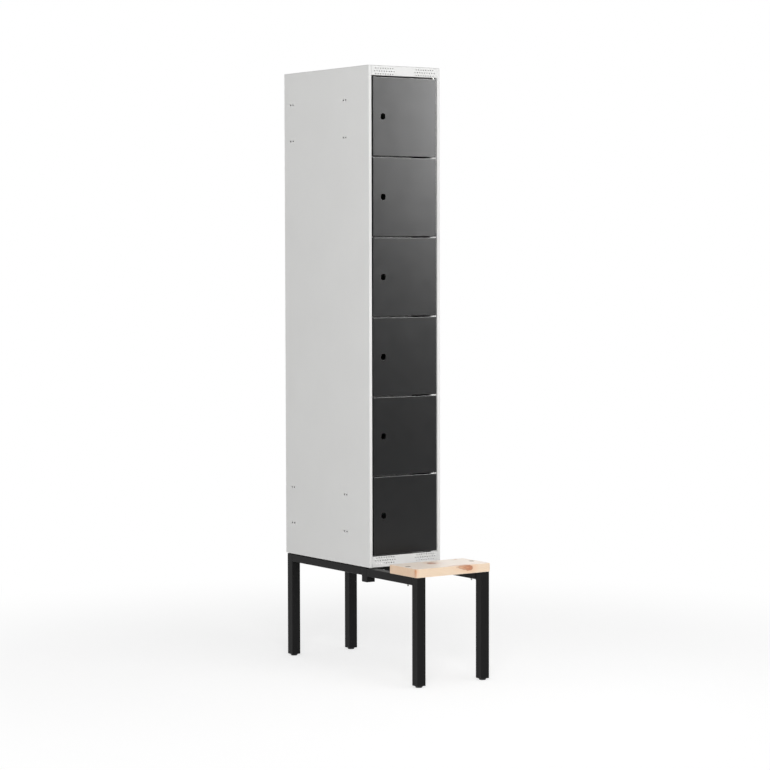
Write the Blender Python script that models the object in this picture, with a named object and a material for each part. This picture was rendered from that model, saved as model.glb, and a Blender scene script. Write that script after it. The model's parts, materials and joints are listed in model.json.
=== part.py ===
"""A six-door steel locker on a square-tube stand whose front half is a bench.

Lengths are in metres. X runs to the right seen from the front, Y to the back, Z up.
The origin is on the floor, in the middle of the space that the object takes.
"""

import math

import bmesh
import bpy
from mathutils import Vector

# Overall sizes
LOCKER_WIDTH = 0.300
LOCKER_DEPTH = 0.550
LOCKER_HEIGHT = 1.740
LOCKER_BOTTOM = 0.380
BENCH_REACH = 0.290
STAND_PROUD = 0.005

# Sheet steel
SHEET = 0.001
FLANGE_SHEET = 0.0009
BEND = 0.001
BEND_STEPS = 3
GAP = 0.0003

# Front frame
STILE = 0.0115
TOP_RAIL = 0.035
BOTTOM_RAIL = 0.038
RAIL_HEM = 0.012
HINGE_JAMB = 0.040
STOP_DEPTH = 0.016
STOP_WIDTH = 0.0125
LIP_DEPTH = 0.0173
LIP_HEIGHT = 0.024
LIP_END = 0.040
REAR_FLANGE = 0.015

# Vent holes in the two front rails
VENT_RADIUS = 0.002
VENT_PITCH = 0.0102
VENT_ROW_PITCH = 0.0098
VENT_ROWS = (8, 9, 8)
VENT_GROUP_X = 0.085
VENT_MARGIN = 0.0052
VENT_SIDES = 8

# Pairs of bolt holes in the side panels
SIDE_HOLE_RADIUS = 0.0035
SIDE_HOLE_DEPTHS = (0.1455, 0.1605, 0.491, 0.507)
SIDE_HOLE_LEVELS = (0.114, 0.244)

# Doors
DOOR_COUNT = 6
DOOR_SIDE_GAP = 0.005
DOOR_GAP = 0.0048
DOOR_DEPTH = 0.016
DOOR_PROUD = 0.001
DOOR_EDGE = 0.0015
DOOR_RETURN = 0.008
LOCK_INSET = 0.0415
LOCK_RADIUS = 0.011
LOCK_WIDTH = 0.019

# Hinges
PIVOT_INSET = 0.0075
PIN_RADIUS = 0.0025
PIN_FIT = 0.0001
PIN_CHAMFER = 0.0004
PIN_REACH = 0.008
LUG_WIDTH = 0.0225
LUG_HEIGHT = 0.003
LUG_CORNER = 0.003
LUG_BACK = 0.0005
BRACKET_SHEET = 0.002
BRACKET_REAR = 0.0185
BRACKET_EAR = 0.038
BRACKET_DOWN = 0.012
BRACKET_UP = 0.0105

# Bottom panel, which steps down onto the stand
FLOOR_STEP = 0.136
FLOOR_LIP = 0.121

# Stand and bench frame
TUBE = 0.034
RAIL_HEIGHT = 0.028
TUBE_WALL = 0.002
TUBE_ROUND = 0.0025
TUBE_ROUND_INSIDE = 0.001
TUBE_ROUND_STEPS = 2
LOCKER_LIFT = 0.004
BENCH_HALF = 0.151
BASE_HALF = 0.142
STUB_DROP = 0.020
STUB_FRONT = 0.017

# Foot glides
GLIDE_HEIGHT = 0.006
GLIDE_TOP_RADIUS = 0.013
GLIDE_FLOOR_RADIUS = 0.0115
GLIDE_PLUG = 0.018
GLIDE_RIM = 0.001
GLIDE_CHAMFER = 0.0005

# Seat board
SEAT_WIDTH = 0.310
SEAT_DEPTH = 0.162
SEAT_THICKNESS = 0.0295
SEAT_CORNER = 0.004
SEAT_CORNER_STEPS = 3
SEAT_EDGE = 0.002
SEAT_RECESS_RADIUS = 0.009
SEAT_RECESS_DEPTH = 0.006

# Bolts
BOLT_RADIUS = 0.004
BOLT_CHAMFER = 0.001
BOLT_SIDES = 16
BOLT_CLEARANCE = 0.0003
BOLT_HEAD_FLATS = 0.013
BOLT_HEAD_HEIGHT = 0.0053
NUT_FLATS = 0.010
NUT_HEIGHT = 0.0032
NUT_CHAMFER = 0.0005
SEAT_BOLT_RADIUS = 0.003
SEAT_BOLT_END = 0.009
SEAT_BOLT_HEAD_RADIUS = 0.008
SEAT_BOLT_HEAD_HEIGHT = 0.0042
SEAT_BOLT_RIM = 0.001
CROWN_STEPS = 4
SEAT_BOLT_X = 0.134
LOCKER_BOLT_X = 0.1265
LOCKER_BOLT_DEPTHS = (0.110, 0.480)
LOCKER_BOLT_LENGTH = 0.016
FRAME_BOLT_X = 0.085
FRAME_BOLT_LENGTH = 0.074

# Facets of the round pieces and the overshoot of the cutters
ROUND_SIDES = 24
PIN_SIDES = 16
SIDE_HOLE_SIDES = 8
LOCK_ARC_STEPS = 6
SHARP_ANGLE = 35
CUT_PAST = 0.004

# Places worked out from the sizes above
HALF_WIDTH = LOCKER_WIDTH / 2
LOCKER_TOP = LOCKER_BOTTOM + LOCKER_HEIGHT
FRONT = BENCH_REACH - (BENCH_REACH + LOCKER_DEPTH + STAND_PROUD) / 2
BACK = FRONT + LOCKER_DEPTH
BENCH_FRONT = FRONT - BENCH_REACH
STAND_BACK = BACK + STAND_PROUD
STAND_TOP = LOCKER_BOTTOM - LOCKER_LIFT
WALL_INNER = HALF_WIDTH - SHEET
JAMB_INNER = HALF_WIDTH - STILE
DOOR_WIDTH = LOCKER_WIDTH - 2 * (STILE + DOOR_SIDE_GAP)
OPENING_HEIGHT = LOCKER_HEIGHT - TOP_RAIL - BOTTOM_RAIL
DOOR_HEIGHT = (OPENING_HEIGHT - (DOOR_COUNT + 1) * DOOR_GAP) / DOOR_COUNT
DOOR_PITCH = DOOR_HEIGHT + DOOR_GAP
PIVOT_X = DOOR_WIDTH / 2 - PIVOT_INSET
PIVOT_Y = FRONT - DOOR_PROUD + DOOR_DEPTH / 2

# Each lug's underside above its gap's middle: the first lies on the top rail's lower flange
FIRST_LUG_LOW = DOOR_GAP / 2 + SHEET + GAP
LUG_LOW = GAP - DOOR_GAP / 2


def gap_level(number):
    """Height of the middle of a gap: 0 is above the first door, 6 below the last."""
    return LOCKER_TOP - TOP_RAIL - DOOR_GAP / 2 - number * DOOR_PITCH


def along_x(a, b, place):
    return (place, a, b)


def along_y(a, b, place):
    return (a, place, b)


def along_z(a, b, place):
    return (a, b, place)


def clear_scene():
    for obj in list(bpy.data.objects):
        bpy.data.objects.remove(obj, do_unlink=True)


def finish(name, colour, roughness, metallic):
    """A plain surface finish."""
    material = bpy.data.materials.new(name)
    material.use_nodes = True
    shader = material.node_tree.nodes["Principled BSDF"]
    shader.inputs["Base Color"].default_value = (*colour, 1.0)
    shader.inputs["Roughness"].default_value = roughness
    shader.inputs["Metallic"].default_value = metallic
    return material


def place(name, mesh, location=(0, 0, 0), rotation=(0, 0, 0)):
    obj = bpy.data.objects.new(name, mesh)
    obj.location = location
    obj.rotation_euler = rotation
    bpy.context.scene.collection.objects.link(obj)
    return obj


def mesh_from(name, bm, material=None):
    """Turns a bmesh into a mesh whose faces point out, smooth on its round parts."""
    bmesh.ops.recalc_face_normals(bm, faces=bm.faces)
    mesh = bpy.data.meshes.new(name)
    bm.to_mesh(mesh)
    bm.free()
    if material:
        mesh.materials.append(material)
    mesh.shade_smooth()
    mesh.set_sharp_from_angle(angle=math.radians(SHARP_ANGLE))
    return mesh


def combine(target, tool, operation):
    """Cuts a tool out of the target, or joins it on."""
    modifier = target.modifiers.new(operation.title(), "BOOLEAN")
    modifier.operation = operation
    modifier.solver = "EXACT"
    modifier.object = tool
    tool.hide_render = True
    tool.display_type = "WIRE"


def finished_mesh(obj, tools):
    """The object's mesh with its modifiers carried out, for use by several objects."""
    bpy.context.view_layer.update()
    graph = bpy.context.evaluated_depsgraph_get()
    mesh = bpy.data.meshes.new_from_object(obj.evaluated_get(graph))
    mesh.name = obj.name
    for helper in (obj, *tools):
        bpy.data.objects.remove(helper, do_unlink=True)
    return mesh


def add_prism(bm, outline, start, end, direction):
    """A closed outline carried straight from start to end."""
    near = [bm.verts.new(direction(a, b, start)) for a, b in outline]
    far = [bm.verts.new(direction(a, b, end)) for a, b in outline]
    bm.faces.new(near)
    bm.faces.new(reversed(far))
    for i in range(len(outline)):
        bm.faces.new((near[i - 1], near[i], far[i], far[i - 1]))


def prism_mesh(name, outline, start, end, direction, material=None):
    bm = bmesh.new()
    add_prism(bm, outline, start, end, direction)
    return mesh_from(name, bm, material)


def rectangle(a0, a1, b0, b1):
    return [(a0, b0), (a1, b0), (a1, b1), (a0, b1)]


def round_outline(radius, sides, centre=(0, 0)):
    """A polygon whose flats are at the radius, so that it clears a round piece of that radius."""
    corner = radius / math.cos(math.pi / sides)
    angles = [2 * math.pi * k / sides for k in range(sides)]
    return [(centre[0] + corner * math.cos(a), centre[1] + corner * math.sin(a)) for a in angles]


def rounded_rectangle(width, height, radius, steps):
    outline = []
    for quarter, (sx, sy) in enumerate(((1, 1), (-1, 1), (-1, -1), (1, -1))):
        centre = Vector((sx * (width / 2 - radius), sy * (height / 2 - radius)))
        for k in range(steps + 1):
            angle = math.pi / 2 * (quarter + k / steps)
            outline.append(tuple(centre + radius * Vector((math.cos(angle), math.sin(angle)))))
    return outline


def bent_path(points, radius):
    """The path's points with each corner made an arc, each with the unit normal on its left."""
    points = [Vector(point) for point in points]
    steps = []
    for i in range(len(points) - 1):
        ahead = (points[i + 1] - points[i]).normalized()
        left = Vector((-ahead.y, ahead.x))
        if i == 0:
            steps.append((points[0], left))
        if i == len(points) - 2:
            steps.append((points[-1], left))
            break
        after = (points[i + 2] - points[i + 1]).normalized()
        turn = math.atan2(ahead.x * after.y - ahead.y * after.x, ahead.dot(after))
        side = math.copysign(1, turn)
        start = points[i + 1] - ahead * radius * math.tan(abs(turn) / 2)
        centre = start + side * radius * left
        for k in range(BEND_STEPS + 1):
            angle = turn * k / BEND_STEPS
            normal = Vector(
                (
                    left.x * math.cos(angle) - left.y * math.sin(angle),
                    left.x * math.sin(angle) + left.y * math.cos(angle),
                )
            )
            steps.append((centre - side * radius * normal, normal))
    return steps


def folded_outline(points, thickness=SHEET, radius=BEND):
    """The section of a sheet folded along a path through the middle of its thickness."""
    steps = bent_path(points, radius)
    one_face = [point + normal * thickness / 2 for point, normal in steps]
    other_face = [point - normal * thickness / 2 for point, normal in reversed(steps)]
    return [tuple(point) for point in one_face + other_face]


def add_turned(bm, profile, sides=ROUND_SIDES):
    """A round piece about Z, from (radius, height) points that start and end on the axis."""
    rings = []
    for radius, height in profile:
        count = sides if radius else 1
        angles = [2 * math.pi * k / sides for k in range(count)]
        ring = [(radius * math.cos(a), radius * math.sin(a), height) for a in angles]
        rings.append([bm.verts.new(point) for point in ring])
    for low, high in zip(rings, rings[1:]):
        for k in range(sides):
            if len(low) == 1:
                bm.faces.new((low[0], high[k], high[k - 1]))
            elif len(high) == 1:
                bm.faces.new((low[k - 1], low[k], high[0]))
            else:
                bm.faces.new((low[k - 1], low[k], high[k], high[k - 1]))


def turned_mesh(name, profile, material=None, sides=ROUND_SIDES):
    bm = bmesh.new()
    add_turned(bm, profile, sides)
    return mesh_from(name, bm, material)


def rod_profile(radius, low, high, chamfer):
    return [
        (0, low),
        (radius - chamfer, low),
        (radius, low + chamfer),
        (radius, high - chamfer),
        (radius - chamfer, high),
        (0, high),
    ]


def tube_mesh(name, width, height, length, material):
    """A rectangular tube along Z, open at both ends."""
    bm = bmesh.new()
    hollow = (width - 2 * TUBE_WALL, height - 2 * TUBE_WALL)
    outer = rounded_rectangle(width, height, TUBE_ROUND, TUBE_ROUND_STEPS)
    inner = rounded_rectangle(*hollow, TUBE_ROUND_INSIDE, TUBE_ROUND_STEPS)
    rings = []
    for outline, level in ((outer, 0), (outer, length), (inner, length), (inner, 0)):
        rings.append([bm.verts.new((a, b, level)) for a, b in outline])
    for here, there in zip(rings, rings[1:] + rings[:1]):
        for k in range(len(outer)):
            bm.faces.new((here[k - 1], here[k], there[k], there[k - 1]))
    return mesh_from(name, bm, material)


def post(name, x, y, low, high, material):
    return place(name, tube_mesh(name, TUBE, TUBE, high - low, material), (x, y, low))


def rail_along_y(name, x, start, end, material):
    mesh = tube_mesh(name, TUBE, RAIL_HEIGHT, end - start, material)
    return place(name, mesh, (x, start, STAND_TOP - RAIL_HEIGHT / 2), (math.radians(-90), 0, 0))


def cross_along_x(name, half_length, y, material):
    mesh = tube_mesh(name, RAIL_HEIGHT, TUBE, 2 * half_length, material)
    return place(name, mesh, (-half_length, y, STAND_TOP - RAIL_HEIGHT / 2), (0, math.radians(90), 0))


def hole_tool(name, centres, radius, start, end, direction, sides=ROUND_SIDES):
    """Round cutters along one direction, one at each centre."""
    bm = bmesh.new()
    for centre in centres:
        add_prism(bm, round_outline(radius, sides, centre), start, end, direction)
    return place(name, mesh_from(name, bm))


def side_panel(name, side, paint):
    """Side wall, front stile, jamb and rear flange, folded from one sheet."""
    half = SHEET / 2
    wall = side * (HALF_WIDTH - half)
    jamb = side * (JAMB_INNER + half)
    path = [
        (side * (HALF_WIDTH - REAR_FLANGE), BACK - half),
        (wall, BACK - half),
        (wall, FRONT + half),
        (jamb, FRONT + half),
    ]
    if side < 0:
        path.append((jamb, FRONT + STOP_DEPTH + half))
        path.append((side * (JAMB_INNER - STOP_WIDTH), FRONT + STOP_DEPTH + half))
    else:
        path.append((jamb, FRONT + HINGE_JAMB))
    top = LOCKER_TOP - SHEET - GAP
    mesh = prism_mesh(name, folded_outline(path), LOCKER_BOTTOM, top, along_z, paint)
    panel = place(name, mesh)
    levels = [LOCKER_BOTTOM + level for level in SIDE_HOLE_LEVELS]
    levels += [LOCKER_TOP - level for level in SIDE_HOLE_LEVELS]
    centres = [(FRONT + depth, level) for depth in SIDE_HOLE_DEPTHS for level in levels]
    ends = sorted((wall - side * CUT_PAST, wall + side * CUT_PAST))
    holes = hole_tool(name + "_holes", centres, SIDE_HOLE_RADIUS, *ends, along_x, SIDE_HOLE_SIDES)
    combine(panel, holes, "DIFFERENCE")


def back_panel(paint):
    front = BACK - 2 * SHEET - GAP
    edge = WALL_INNER - GAP
    outline = rectangle(-edge, edge, LOCKER_BOTTOM + SHEET, LOCKER_TOP - SHEET - GAP)
    place("back_panel", prism_mesh("back_panel", outline, front, front + SHEET, along_y, paint))


def top_panel(paint):
    """Lid with its two sides turned down inside the side panels."""
    half = SHEET / 2
    edge = WALL_INNER - GAP - half
    level = LOCKER_TOP - half
    lid = rectangle(-HALF_WIDTH, HALF_WIDTH, FRONT, BACK)
    mesh = prism_mesh("top_panel", lid, LOCKER_TOP - SHEET, LOCKER_TOP, along_z, paint)
    panel = place("top_panel", mesh)
    path = [(-edge, level - REAR_FLANGE), (-edge, level), (edge, level), (edge, level - REAR_FLANGE)]
    start = FRONT + HINGE_JAMB + GAP
    end = BACK - 3 * SHEET
    outline = folded_outline(path, FLANGE_SHEET)
    flanges = place("top_flanges", prism_mesh("top_flanges", outline, start, end, along_y))
    combine(panel, flanges, "UNION")


def bottom_panel(paint):
    """Floor of the lowest compartment, folded down and stepped in to rest on the stand."""
    half = SHEET / 2
    edge = WALL_INNER - GAP - half
    floor = gap_level(DOOR_COUNT) + LIP_HEIGHT / 2 - half
    step = LOCKER_BOTTOM + SHEET + half
    foot = STAND_TOP + GAP + half
    left = [(-FLOOR_LIP, foot), (-FLOOR_STEP, foot), (-FLOOR_STEP, step), (-edge, step), (-edge, floor)]
    right = [(-x, z) for x, z in reversed(left)]
    start = FRONT + LIP_DEPTH + SHEET + GAP
    end = BACK - 2 * SHEET - 2 * GAP
    mesh = prism_mesh("bottom_panel", folded_outline(left + right), start, end, along_y, paint)
    panel = place("bottom_panel", mesh)
    notch = rectangle(JAMB_INNER - GAP, HALF_WIDTH, FRONT, FRONT + HINGE_JAMB + GAP)
    cutter = prism_mesh("bottom_notch", notch, STAND_TOP - CUT_PAST, floor + CUT_PAST, along_z)
    combine(panel, place("bottom_notch", cutter), "DIFFERENCE")
    combine(panel, bpy.data.objects["locker_bolt_holes"], "DIFFERENCE")


def vent_centres(first_row):
    """Two groups of staggered rows, mirrored about the middle of the rail."""
    centres = []
    for row, count in enumerate(VENT_ROWS):
        for k in range(count):
            offset = (k - (count - 1) / 2) * VENT_PITCH
            level = first_row - row * VENT_ROW_PITCH
            centres += [(group + offset, level) for group in (-VENT_GROUP_X, VENT_GROUP_X)]
    return centres


def rail_sheet(name, path, paint):
    end = JAMB_INNER - GAP
    return place(name, prism_mesh(name, folded_outline(path), -end, end, along_x, paint))


def punch_vents(rail, first_row):
    name = rail.name + "_vents"
    centres = vent_centres(first_row)
    vents = hole_tool(name, centres, VENT_RADIUS, FRONT - CUT_PAST, FRONT + CUT_PAST, along_y, VENT_SIDES)
    combine(rail, vents, "DIFFERENCE")


def notch_lip(rail, low, high):
    """Cuts the stop lip back from the left stile's stop and from the hinges."""
    name = rail.name + "_notches"
    bm = bmesh.new()
    stop_edge = JAMB_INNER - STOP_WIDTH - GAP
    behind = FRONT + LIP_DEPTH + SHEET + CUT_PAST
    stop_notch = rectangle(-HALF_WIDTH, -stop_edge, FRONT + STOP_DEPTH - GAP, behind)
    add_prism(bm, stop_notch, low, high, along_z)
    hinge_notch = rectangle(LIP_END, HALF_WIDTH, FRONT + LIP_DEPTH - SHEET / 2, behind)
    add_prism(bm, hinge_notch, low, high, along_z)
    combine(rail, place(name, mesh_from(name, bm)), "DIFFERENCE")


def pin_hole_tool(name, low, high):
    return hole_tool(name, [(PIVOT_X, PIVOT_Y)], PIN_RADIUS + PIN_FIT, low, high, along_z, PIN_SIDES)


def top_front_rail(paint):
    """The upper rail, whose lower flange the first door's upper pin passes through."""
    half = SHEET / 2
    face = FRONT + half
    upper = LOCKER_TOP - SHEET - GAP - half
    lower = LOCKER_TOP - TOP_RAIL + half
    path = [(FRONT + RAIL_HEM, upper), (face, upper), (face, lower), (FRONT + STOP_DEPTH - GAP, lower)]
    first_row = LOCKER_TOP - TOP_RAIL + VENT_MARGIN + 2 * VENT_ROW_PITCH
    rail = rail_sheet("top_front_rail", path, paint)
    pin_hole = pin_hole_tool("rail_pin_hole", lower - CUT_PAST, lower + CUT_PAST)
    combine(rail, pin_hole, "DIFFERENCE")
    punch_vents(rail, first_row)


def bottom_front_rail(paint):
    """The lower rail, whose upper flange turns up into the lip that the last door shuts against."""
    half = SHEET / 2
    face = FRONT + half
    lip = FRONT + LIP_DEPTH + half
    upper = LOCKER_BOTTOM + BOTTOM_RAIL - half
    lower = LOCKER_BOTTOM + half
    lip_end = gap_level(DOOR_COUNT) + LIP_HEIGHT / 2
    path = [(lip, lip_end), (lip, upper), (face, upper), (face, lower), (FRONT + RAIL_HEM, lower)]
    rail = rail_sheet("bottom_front_rail", path, paint)
    punch_vents(rail, LOCKER_BOTTOM + BOTTOM_RAIL - VENT_MARGIN)
    notch_lip(rail, upper - CUT_PAST, lip_end + CUT_PAST)


def shelf_mesh(paint):
    """A shelf plate with its front turned down, cut back where the doors' hinge side swings."""
    half = SHEET / 2
    lip = FRONT + LIP_DEPTH + half
    level = LIP_HEIGHT / 2 - half
    path = [(lip, -LIP_HEIGHT / 2), (lip, level), (BACK - 2 * SHEET - 2 * GAP, level)]
    edge = WALL_INNER - GAP
    shelf = place("shelf", prism_mesh("shelf", folded_outline(path), -edge, edge, along_x, paint))
    ahead = FRONT + LIP_DEPTH - CUT_PAST
    behind_hinge = FRONT + BRACKET_REAR + BRACKET_SHEET
    behind_jamb = FRONT + HINGE_JAMB + GAP
    jamb = JAMB_INNER - GAP
    outline = [
        (LIP_END, ahead),
        (HALF_WIDTH, ahead),
        (HALF_WIDTH, behind_jamb),
        (jamb, behind_jamb),
        (jamb, behind_hinge),
        (LIP_END, behind_hinge),
    ]
    reach = LIP_HEIGHT / 2 + CUT_PAST
    notch = place("shelf_notch", prism_mesh("shelf_notch", outline, -reach, reach, along_z))
    combine(shelf, notch, "DIFFERENCE")
    return finished_mesh(shelf, [notch])


def bracket_mesh(paint, lug_front, lug_low):
    """Hinge lug between two doors, with a folded plate behind it that is welded to the jamb."""
    half = BRACKET_SHEET / 2
    left = DOOR_WIDTH / 2 - LUG_WIDTH
    right = DOOR_WIDTH / 2 - LUG_BACK
    rear = FRONT + BRACKET_REAR + half
    ear = JAMB_INNER - GAP - half
    path = [(left, rear), (ear, rear), (ear, FRONT + BRACKET_EAR)]
    outline = folded_outline(path, BRACKET_SHEET, BRACKET_SHEET)
    mesh = prism_mesh("bracket", outline, -BRACKET_DOWN, BRACKET_UP, along_z, paint)
    bracket = place("bracket", mesh)
    lug_outline = [
        (left + half, lug_front + LUG_CORNER),
        (left + half + LUG_CORNER, lug_front),
        (right, lug_front),
        (right, rear + half / 2),
        (left + half, rear + half / 2),
    ]
    lug = place("lug", prism_mesh("lug", lug_outline, lug_low, lug_low + LUG_HEIGHT, along_z))
    pin_hole = pin_hole_tool("pin_hole", lug_low - LUG_HEIGHT, lug_low + 2 * LUG_HEIGHT)
    combine(bracket, lug, "UNION")
    combine(bracket, pin_hole, "DIFFERENCE")
    return finished_mesh(bracket, [lug, pin_hole])


def hinge_pin(number, steel):
    """A pin through the lug, reaching into the door above and the door below."""
    reach = DOOR_GAP / 2 + PIN_REACH
    low = -reach if number < DOOR_COUNT else LUG_LOW
    high = reach if number > 0 else FIRST_LUG_LOW + LUG_HEIGHT
    profile = rod_profile(PIN_RADIUS, low, high, PIN_CHAMFER)
    name = f"hinge_pin_{number + 1}"
    mesh = turned_mesh(name, profile, steel, PIN_SIDES)
    place(name, mesh, (PIVOT_X, PIVOT_Y, gap_level(number)))


def lock_outline(centre_x):
    """A round hole with two upright flats."""
    flat = math.acos(LOCK_WIDTH / 2 / LOCK_RADIUS)
    outline = []
    for start in (flat, math.pi + flat):
        for k in range(LOCK_ARC_STEPS + 1):
            angle = start + (math.pi - 2 * flat) * k / LOCK_ARC_STEPS
            outline.append((centre_x + LOCK_RADIUS * math.cos(angle), LOCK_RADIUS * math.sin(angle)))
    return outline


def box_tool(name, low, high):
    outline = rectangle(low[0], high[0], low[1], high[1])
    return place(name, prism_mesh(name, outline, low[2], high[2], along_z))


def door_mesh(paint):
    """A door folded into a pan with a return along its edges. Its origin is on its pivot axis."""
    left = PIVOT_INSET - DOOR_WIDTH
    face = -DOOR_DEPTH / 2
    half_height = DOOR_HEIGHT / 2
    bm = bmesh.new()
    add_prism(bm, rectangle(left, PIVOT_INSET, face, -face), -half_height, half_height, along_z)
    rear = max(bm.faces, key=lambda side: side.calc_center_median().y)
    folds = [edge for edge in bm.edges if rear not in edge.link_faces]
    bmesh.ops.bevel(bm, geom=folds, offset=DOOR_EDGE, segments=2, profile=0.5, affect="EDGES")
    door = place("door", mesh_from("door", bm, paint))
    hollow = box_tool(
        "hollow",
        (left + SHEET, face + SHEET, SHEET - half_height),
        (PIVOT_INSET - SHEET, -face - SHEET, half_height - SHEET),
    )
    window = box_tool(
        "window",
        (left + DOOR_RETURN, 0, DOOR_RETURN - half_height),
        (PIVOT_INSET - DOOR_RETURN, CUT_PAST - face, half_height - DOOR_RETURN),
    )
    outline = lock_outline(left + LOCK_INSET)
    lock_mesh = prism_mesh("lock_hole", outline, face - CUT_PAST, face + CUT_PAST, along_y)
    lock = place("lock_hole", lock_mesh)
    bm = bmesh.new()
    for level in (-half_height, half_height):
        outline = round_outline(PIN_RADIUS + PIN_FIT, PIN_SIDES)
        add_prism(bm, outline, level - CUT_PAST, level + CUT_PAST, along_z)
    pins = place("pin_holes", mesh_from("pin_holes", bm))
    tools = [hollow, window, lock, pins]
    for tool in tools:
        combine(door, tool, "DIFFERENCE")
    return finished_mesh(door, tools)


def hex_bolt_mesh(name, length, steel):
    """A bolt along Z: the head stands on the plane through its origin and the shank goes down."""
    head_outline = round_outline(BOLT_HEAD_FLATS / 2, 6)
    head = place(name, prism_mesh(name, head_outline, 0, BOLT_HEAD_HEIGHT, along_z, steel))
    shank_profile = rod_profile(BOLT_RADIUS, -length, BOLT_HEAD_HEIGHT / 2, BOLT_CHAMFER)
    shank = place("shank", turned_mesh("shank", shank_profile, sides=BOLT_SIDES))
    combine(head, shank, "UNION")
    return finished_mesh(head, [shank])


def locker_bolts(steel):
    mesh = hex_bolt_mesh("locker_bolt", LOCKER_BOLT_LENGTH, steel)
    level = STAND_TOP + SHEET + 2 * GAP
    places = [(side * LOCKER_BOLT_X, FRONT + depth) for depth in LOCKER_BOLT_DEPTHS for side in (-1, 1)]
    for number, (x, y) in enumerate(places, 1):
        place(f"locker_bolt_{number}", mesh, (x, y, level))


def frame_bolts(steel):
    mesh = hex_bolt_mesh("frame_bolt", FRAME_BOLT_LENGTH, steel)
    level = STAND_TOP - RAIL_HEIGHT / 2
    for name, x in (("frame_bolt_left", -FRAME_BOLT_X), ("frame_bolt_right", FRAME_BOLT_X)):
        place(name, mesh, (x, FRONT + STUB_FRONT - GAP, level), (math.radians(90), 0, 0))


def nut_mesh(steel):
    outline = round_outline(NUT_FLATS / 2, 6)
    nut = place("nut", prism_mesh("nut", outline, -NUT_HEIGHT, 0, along_z, steel))
    edges = nut.modifiers.new("Edges", "BEVEL")
    edges.width = NUT_CHAMFER
    edges.segments = 1
    hole_radius = SEAT_BOLT_RADIUS + BOLT_CLEARANCE
    hole = hole_tool(
        "nut_hole", [(0, 0)], hole_radius, -2 * NUT_HEIGHT, NUT_HEIGHT, along_z, BOLT_SIDES
    )
    combine(nut, hole, "DIFFERENCE")
    return finished_mesh(nut, [hole])


def seat_bolts(steel):
    """Round-headed bolts sunk in the board, each with a nut under its rail."""
    seat_top = STAND_TOP + GAP + SEAT_THICKNESS
    rail_bottom = STAND_TOP - RAIL_HEIGHT
    head_low = seat_top - SEAT_RECESS_DEPTH + GAP
    length = head_low - rail_bottom + SEAT_BOLT_END
    profile = [
        (0, -length),
        (SEAT_BOLT_RADIUS - BOLT_CHAMFER, -length),
        (SEAT_BOLT_RADIUS, -length + BOLT_CHAMFER),
        (SEAT_BOLT_RADIUS, 0),
        (SEAT_BOLT_HEAD_RADIUS, 0),
    ]
    crown = SEAT_BOLT_HEAD_HEIGHT - SEAT_BOLT_RIM
    for k in range(CROWN_STEPS):
        angle = math.pi / 2 * k / CROWN_STEPS
        radius = SEAT_BOLT_HEAD_RADIUS * math.cos(angle)
        profile.append((radius, SEAT_BOLT_RIM + crown * math.sin(angle)))
    profile.append((0, SEAT_BOLT_HEAD_HEIGHT))
    bolt = turned_mesh("seat_bolt", profile, steel, sides=BOLT_SIDES)
    nut = nut_mesh(steel)
    y = BENCH_FRONT + SEAT_DEPTH / 2
    for name, x in (("left", -SEAT_BOLT_X), ("right", SEAT_BOLT_X)):
        place(f"seat_bolt_{name}", bolt, (x, y, head_low))
        place(f"seat_nut_{name}", nut, (x, y, rail_bottom - GAP))


def bolt_hole_tools():
    """Cutters for the bolts' holes, which the pieces that each bolt passes through share."""
    seat_radius = SEAT_BOLT_RADIUS + BOLT_CLEARANCE
    seat_y = BENCH_FRONT + SEAT_DEPTH / 2
    seat_centres = [(-SEAT_BOLT_X, seat_y), (SEAT_BOLT_X, seat_y)]
    seat_top = STAND_TOP + GAP + SEAT_THICKNESS
    low = STAND_TOP - RAIL_HEIGHT - CUT_PAST
    past_seat = seat_top + CUT_PAST
    hole_tool("seat_bolt_holes", seat_centres, seat_radius, low, past_seat, along_z, BOLT_SIDES)
    recess_low = seat_top - SEAT_RECESS_DEPTH
    hole_tool("seat_recesses", seat_centres, SEAT_RECESS_RADIUS, recess_low, past_seat, along_z)
    radius = BOLT_RADIUS + BOLT_CLEARANCE
    frame_level = STAND_TOP - RAIL_HEIGHT / 2
    frame_centres = [(-FRAME_BOLT_X, frame_level), (FRAME_BOLT_X, frame_level)]
    end = FRONT + STUB_FRONT + FRAME_BOLT_LENGTH
    hole_tool("frame_bolt_holes", frame_centres, radius, FRONT, end + CUT_PAST, along_y, BOLT_SIDES)
    locker_centres = [
        (side * LOCKER_BOLT_X, FRONT + depth) for depth in LOCKER_BOLT_DEPTHS for side in (-1, 1)
    ]
    low = STAND_TOP - TUBE_WALL - CUT_PAST
    hole_tool("locker_bolt_holes", locker_centres, radius, low, STAND_TOP + CUT_PAST, along_z, BOLT_SIDES)


def stand(paint):
    """Two rails, two cross tubes and the two rear legs under the locker."""
    bolt_holes = bpy.data.objects["locker_bolt_holes"]
    frame_holes = bpy.data.objects["frame_bolt_holes"]
    x = BASE_HALF - TUBE / 2
    rail_start = FRONT + STUB_FRONT + TUBE + GAP
    leg_front = STAND_BACK - TUBE
    leg_y = STAND_BACK - TUBE / 2
    foot = GLIDE_HEIGHT + GAP
    cross = x - TUBE / 2 - GAP
    for name, side in (("left", -1), ("right", 1)):
        rail = rail_along_y(f"base_rail_{name}", side * x, rail_start, leg_front - GAP, paint)
        combine(rail, bolt_holes, "DIFFERENCE")
        post(f"rear_leg_{name}", side * x, leg_y, foot, STAND_TOP, paint)
    front_cross = cross_along_x("base_cross_front", cross, rail_start + TUBE / 2, paint)
    combine(front_cross, frame_holes, "DIFFERENCE")
    cross_along_x("base_cross_rear", cross, leg_y, paint)


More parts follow.
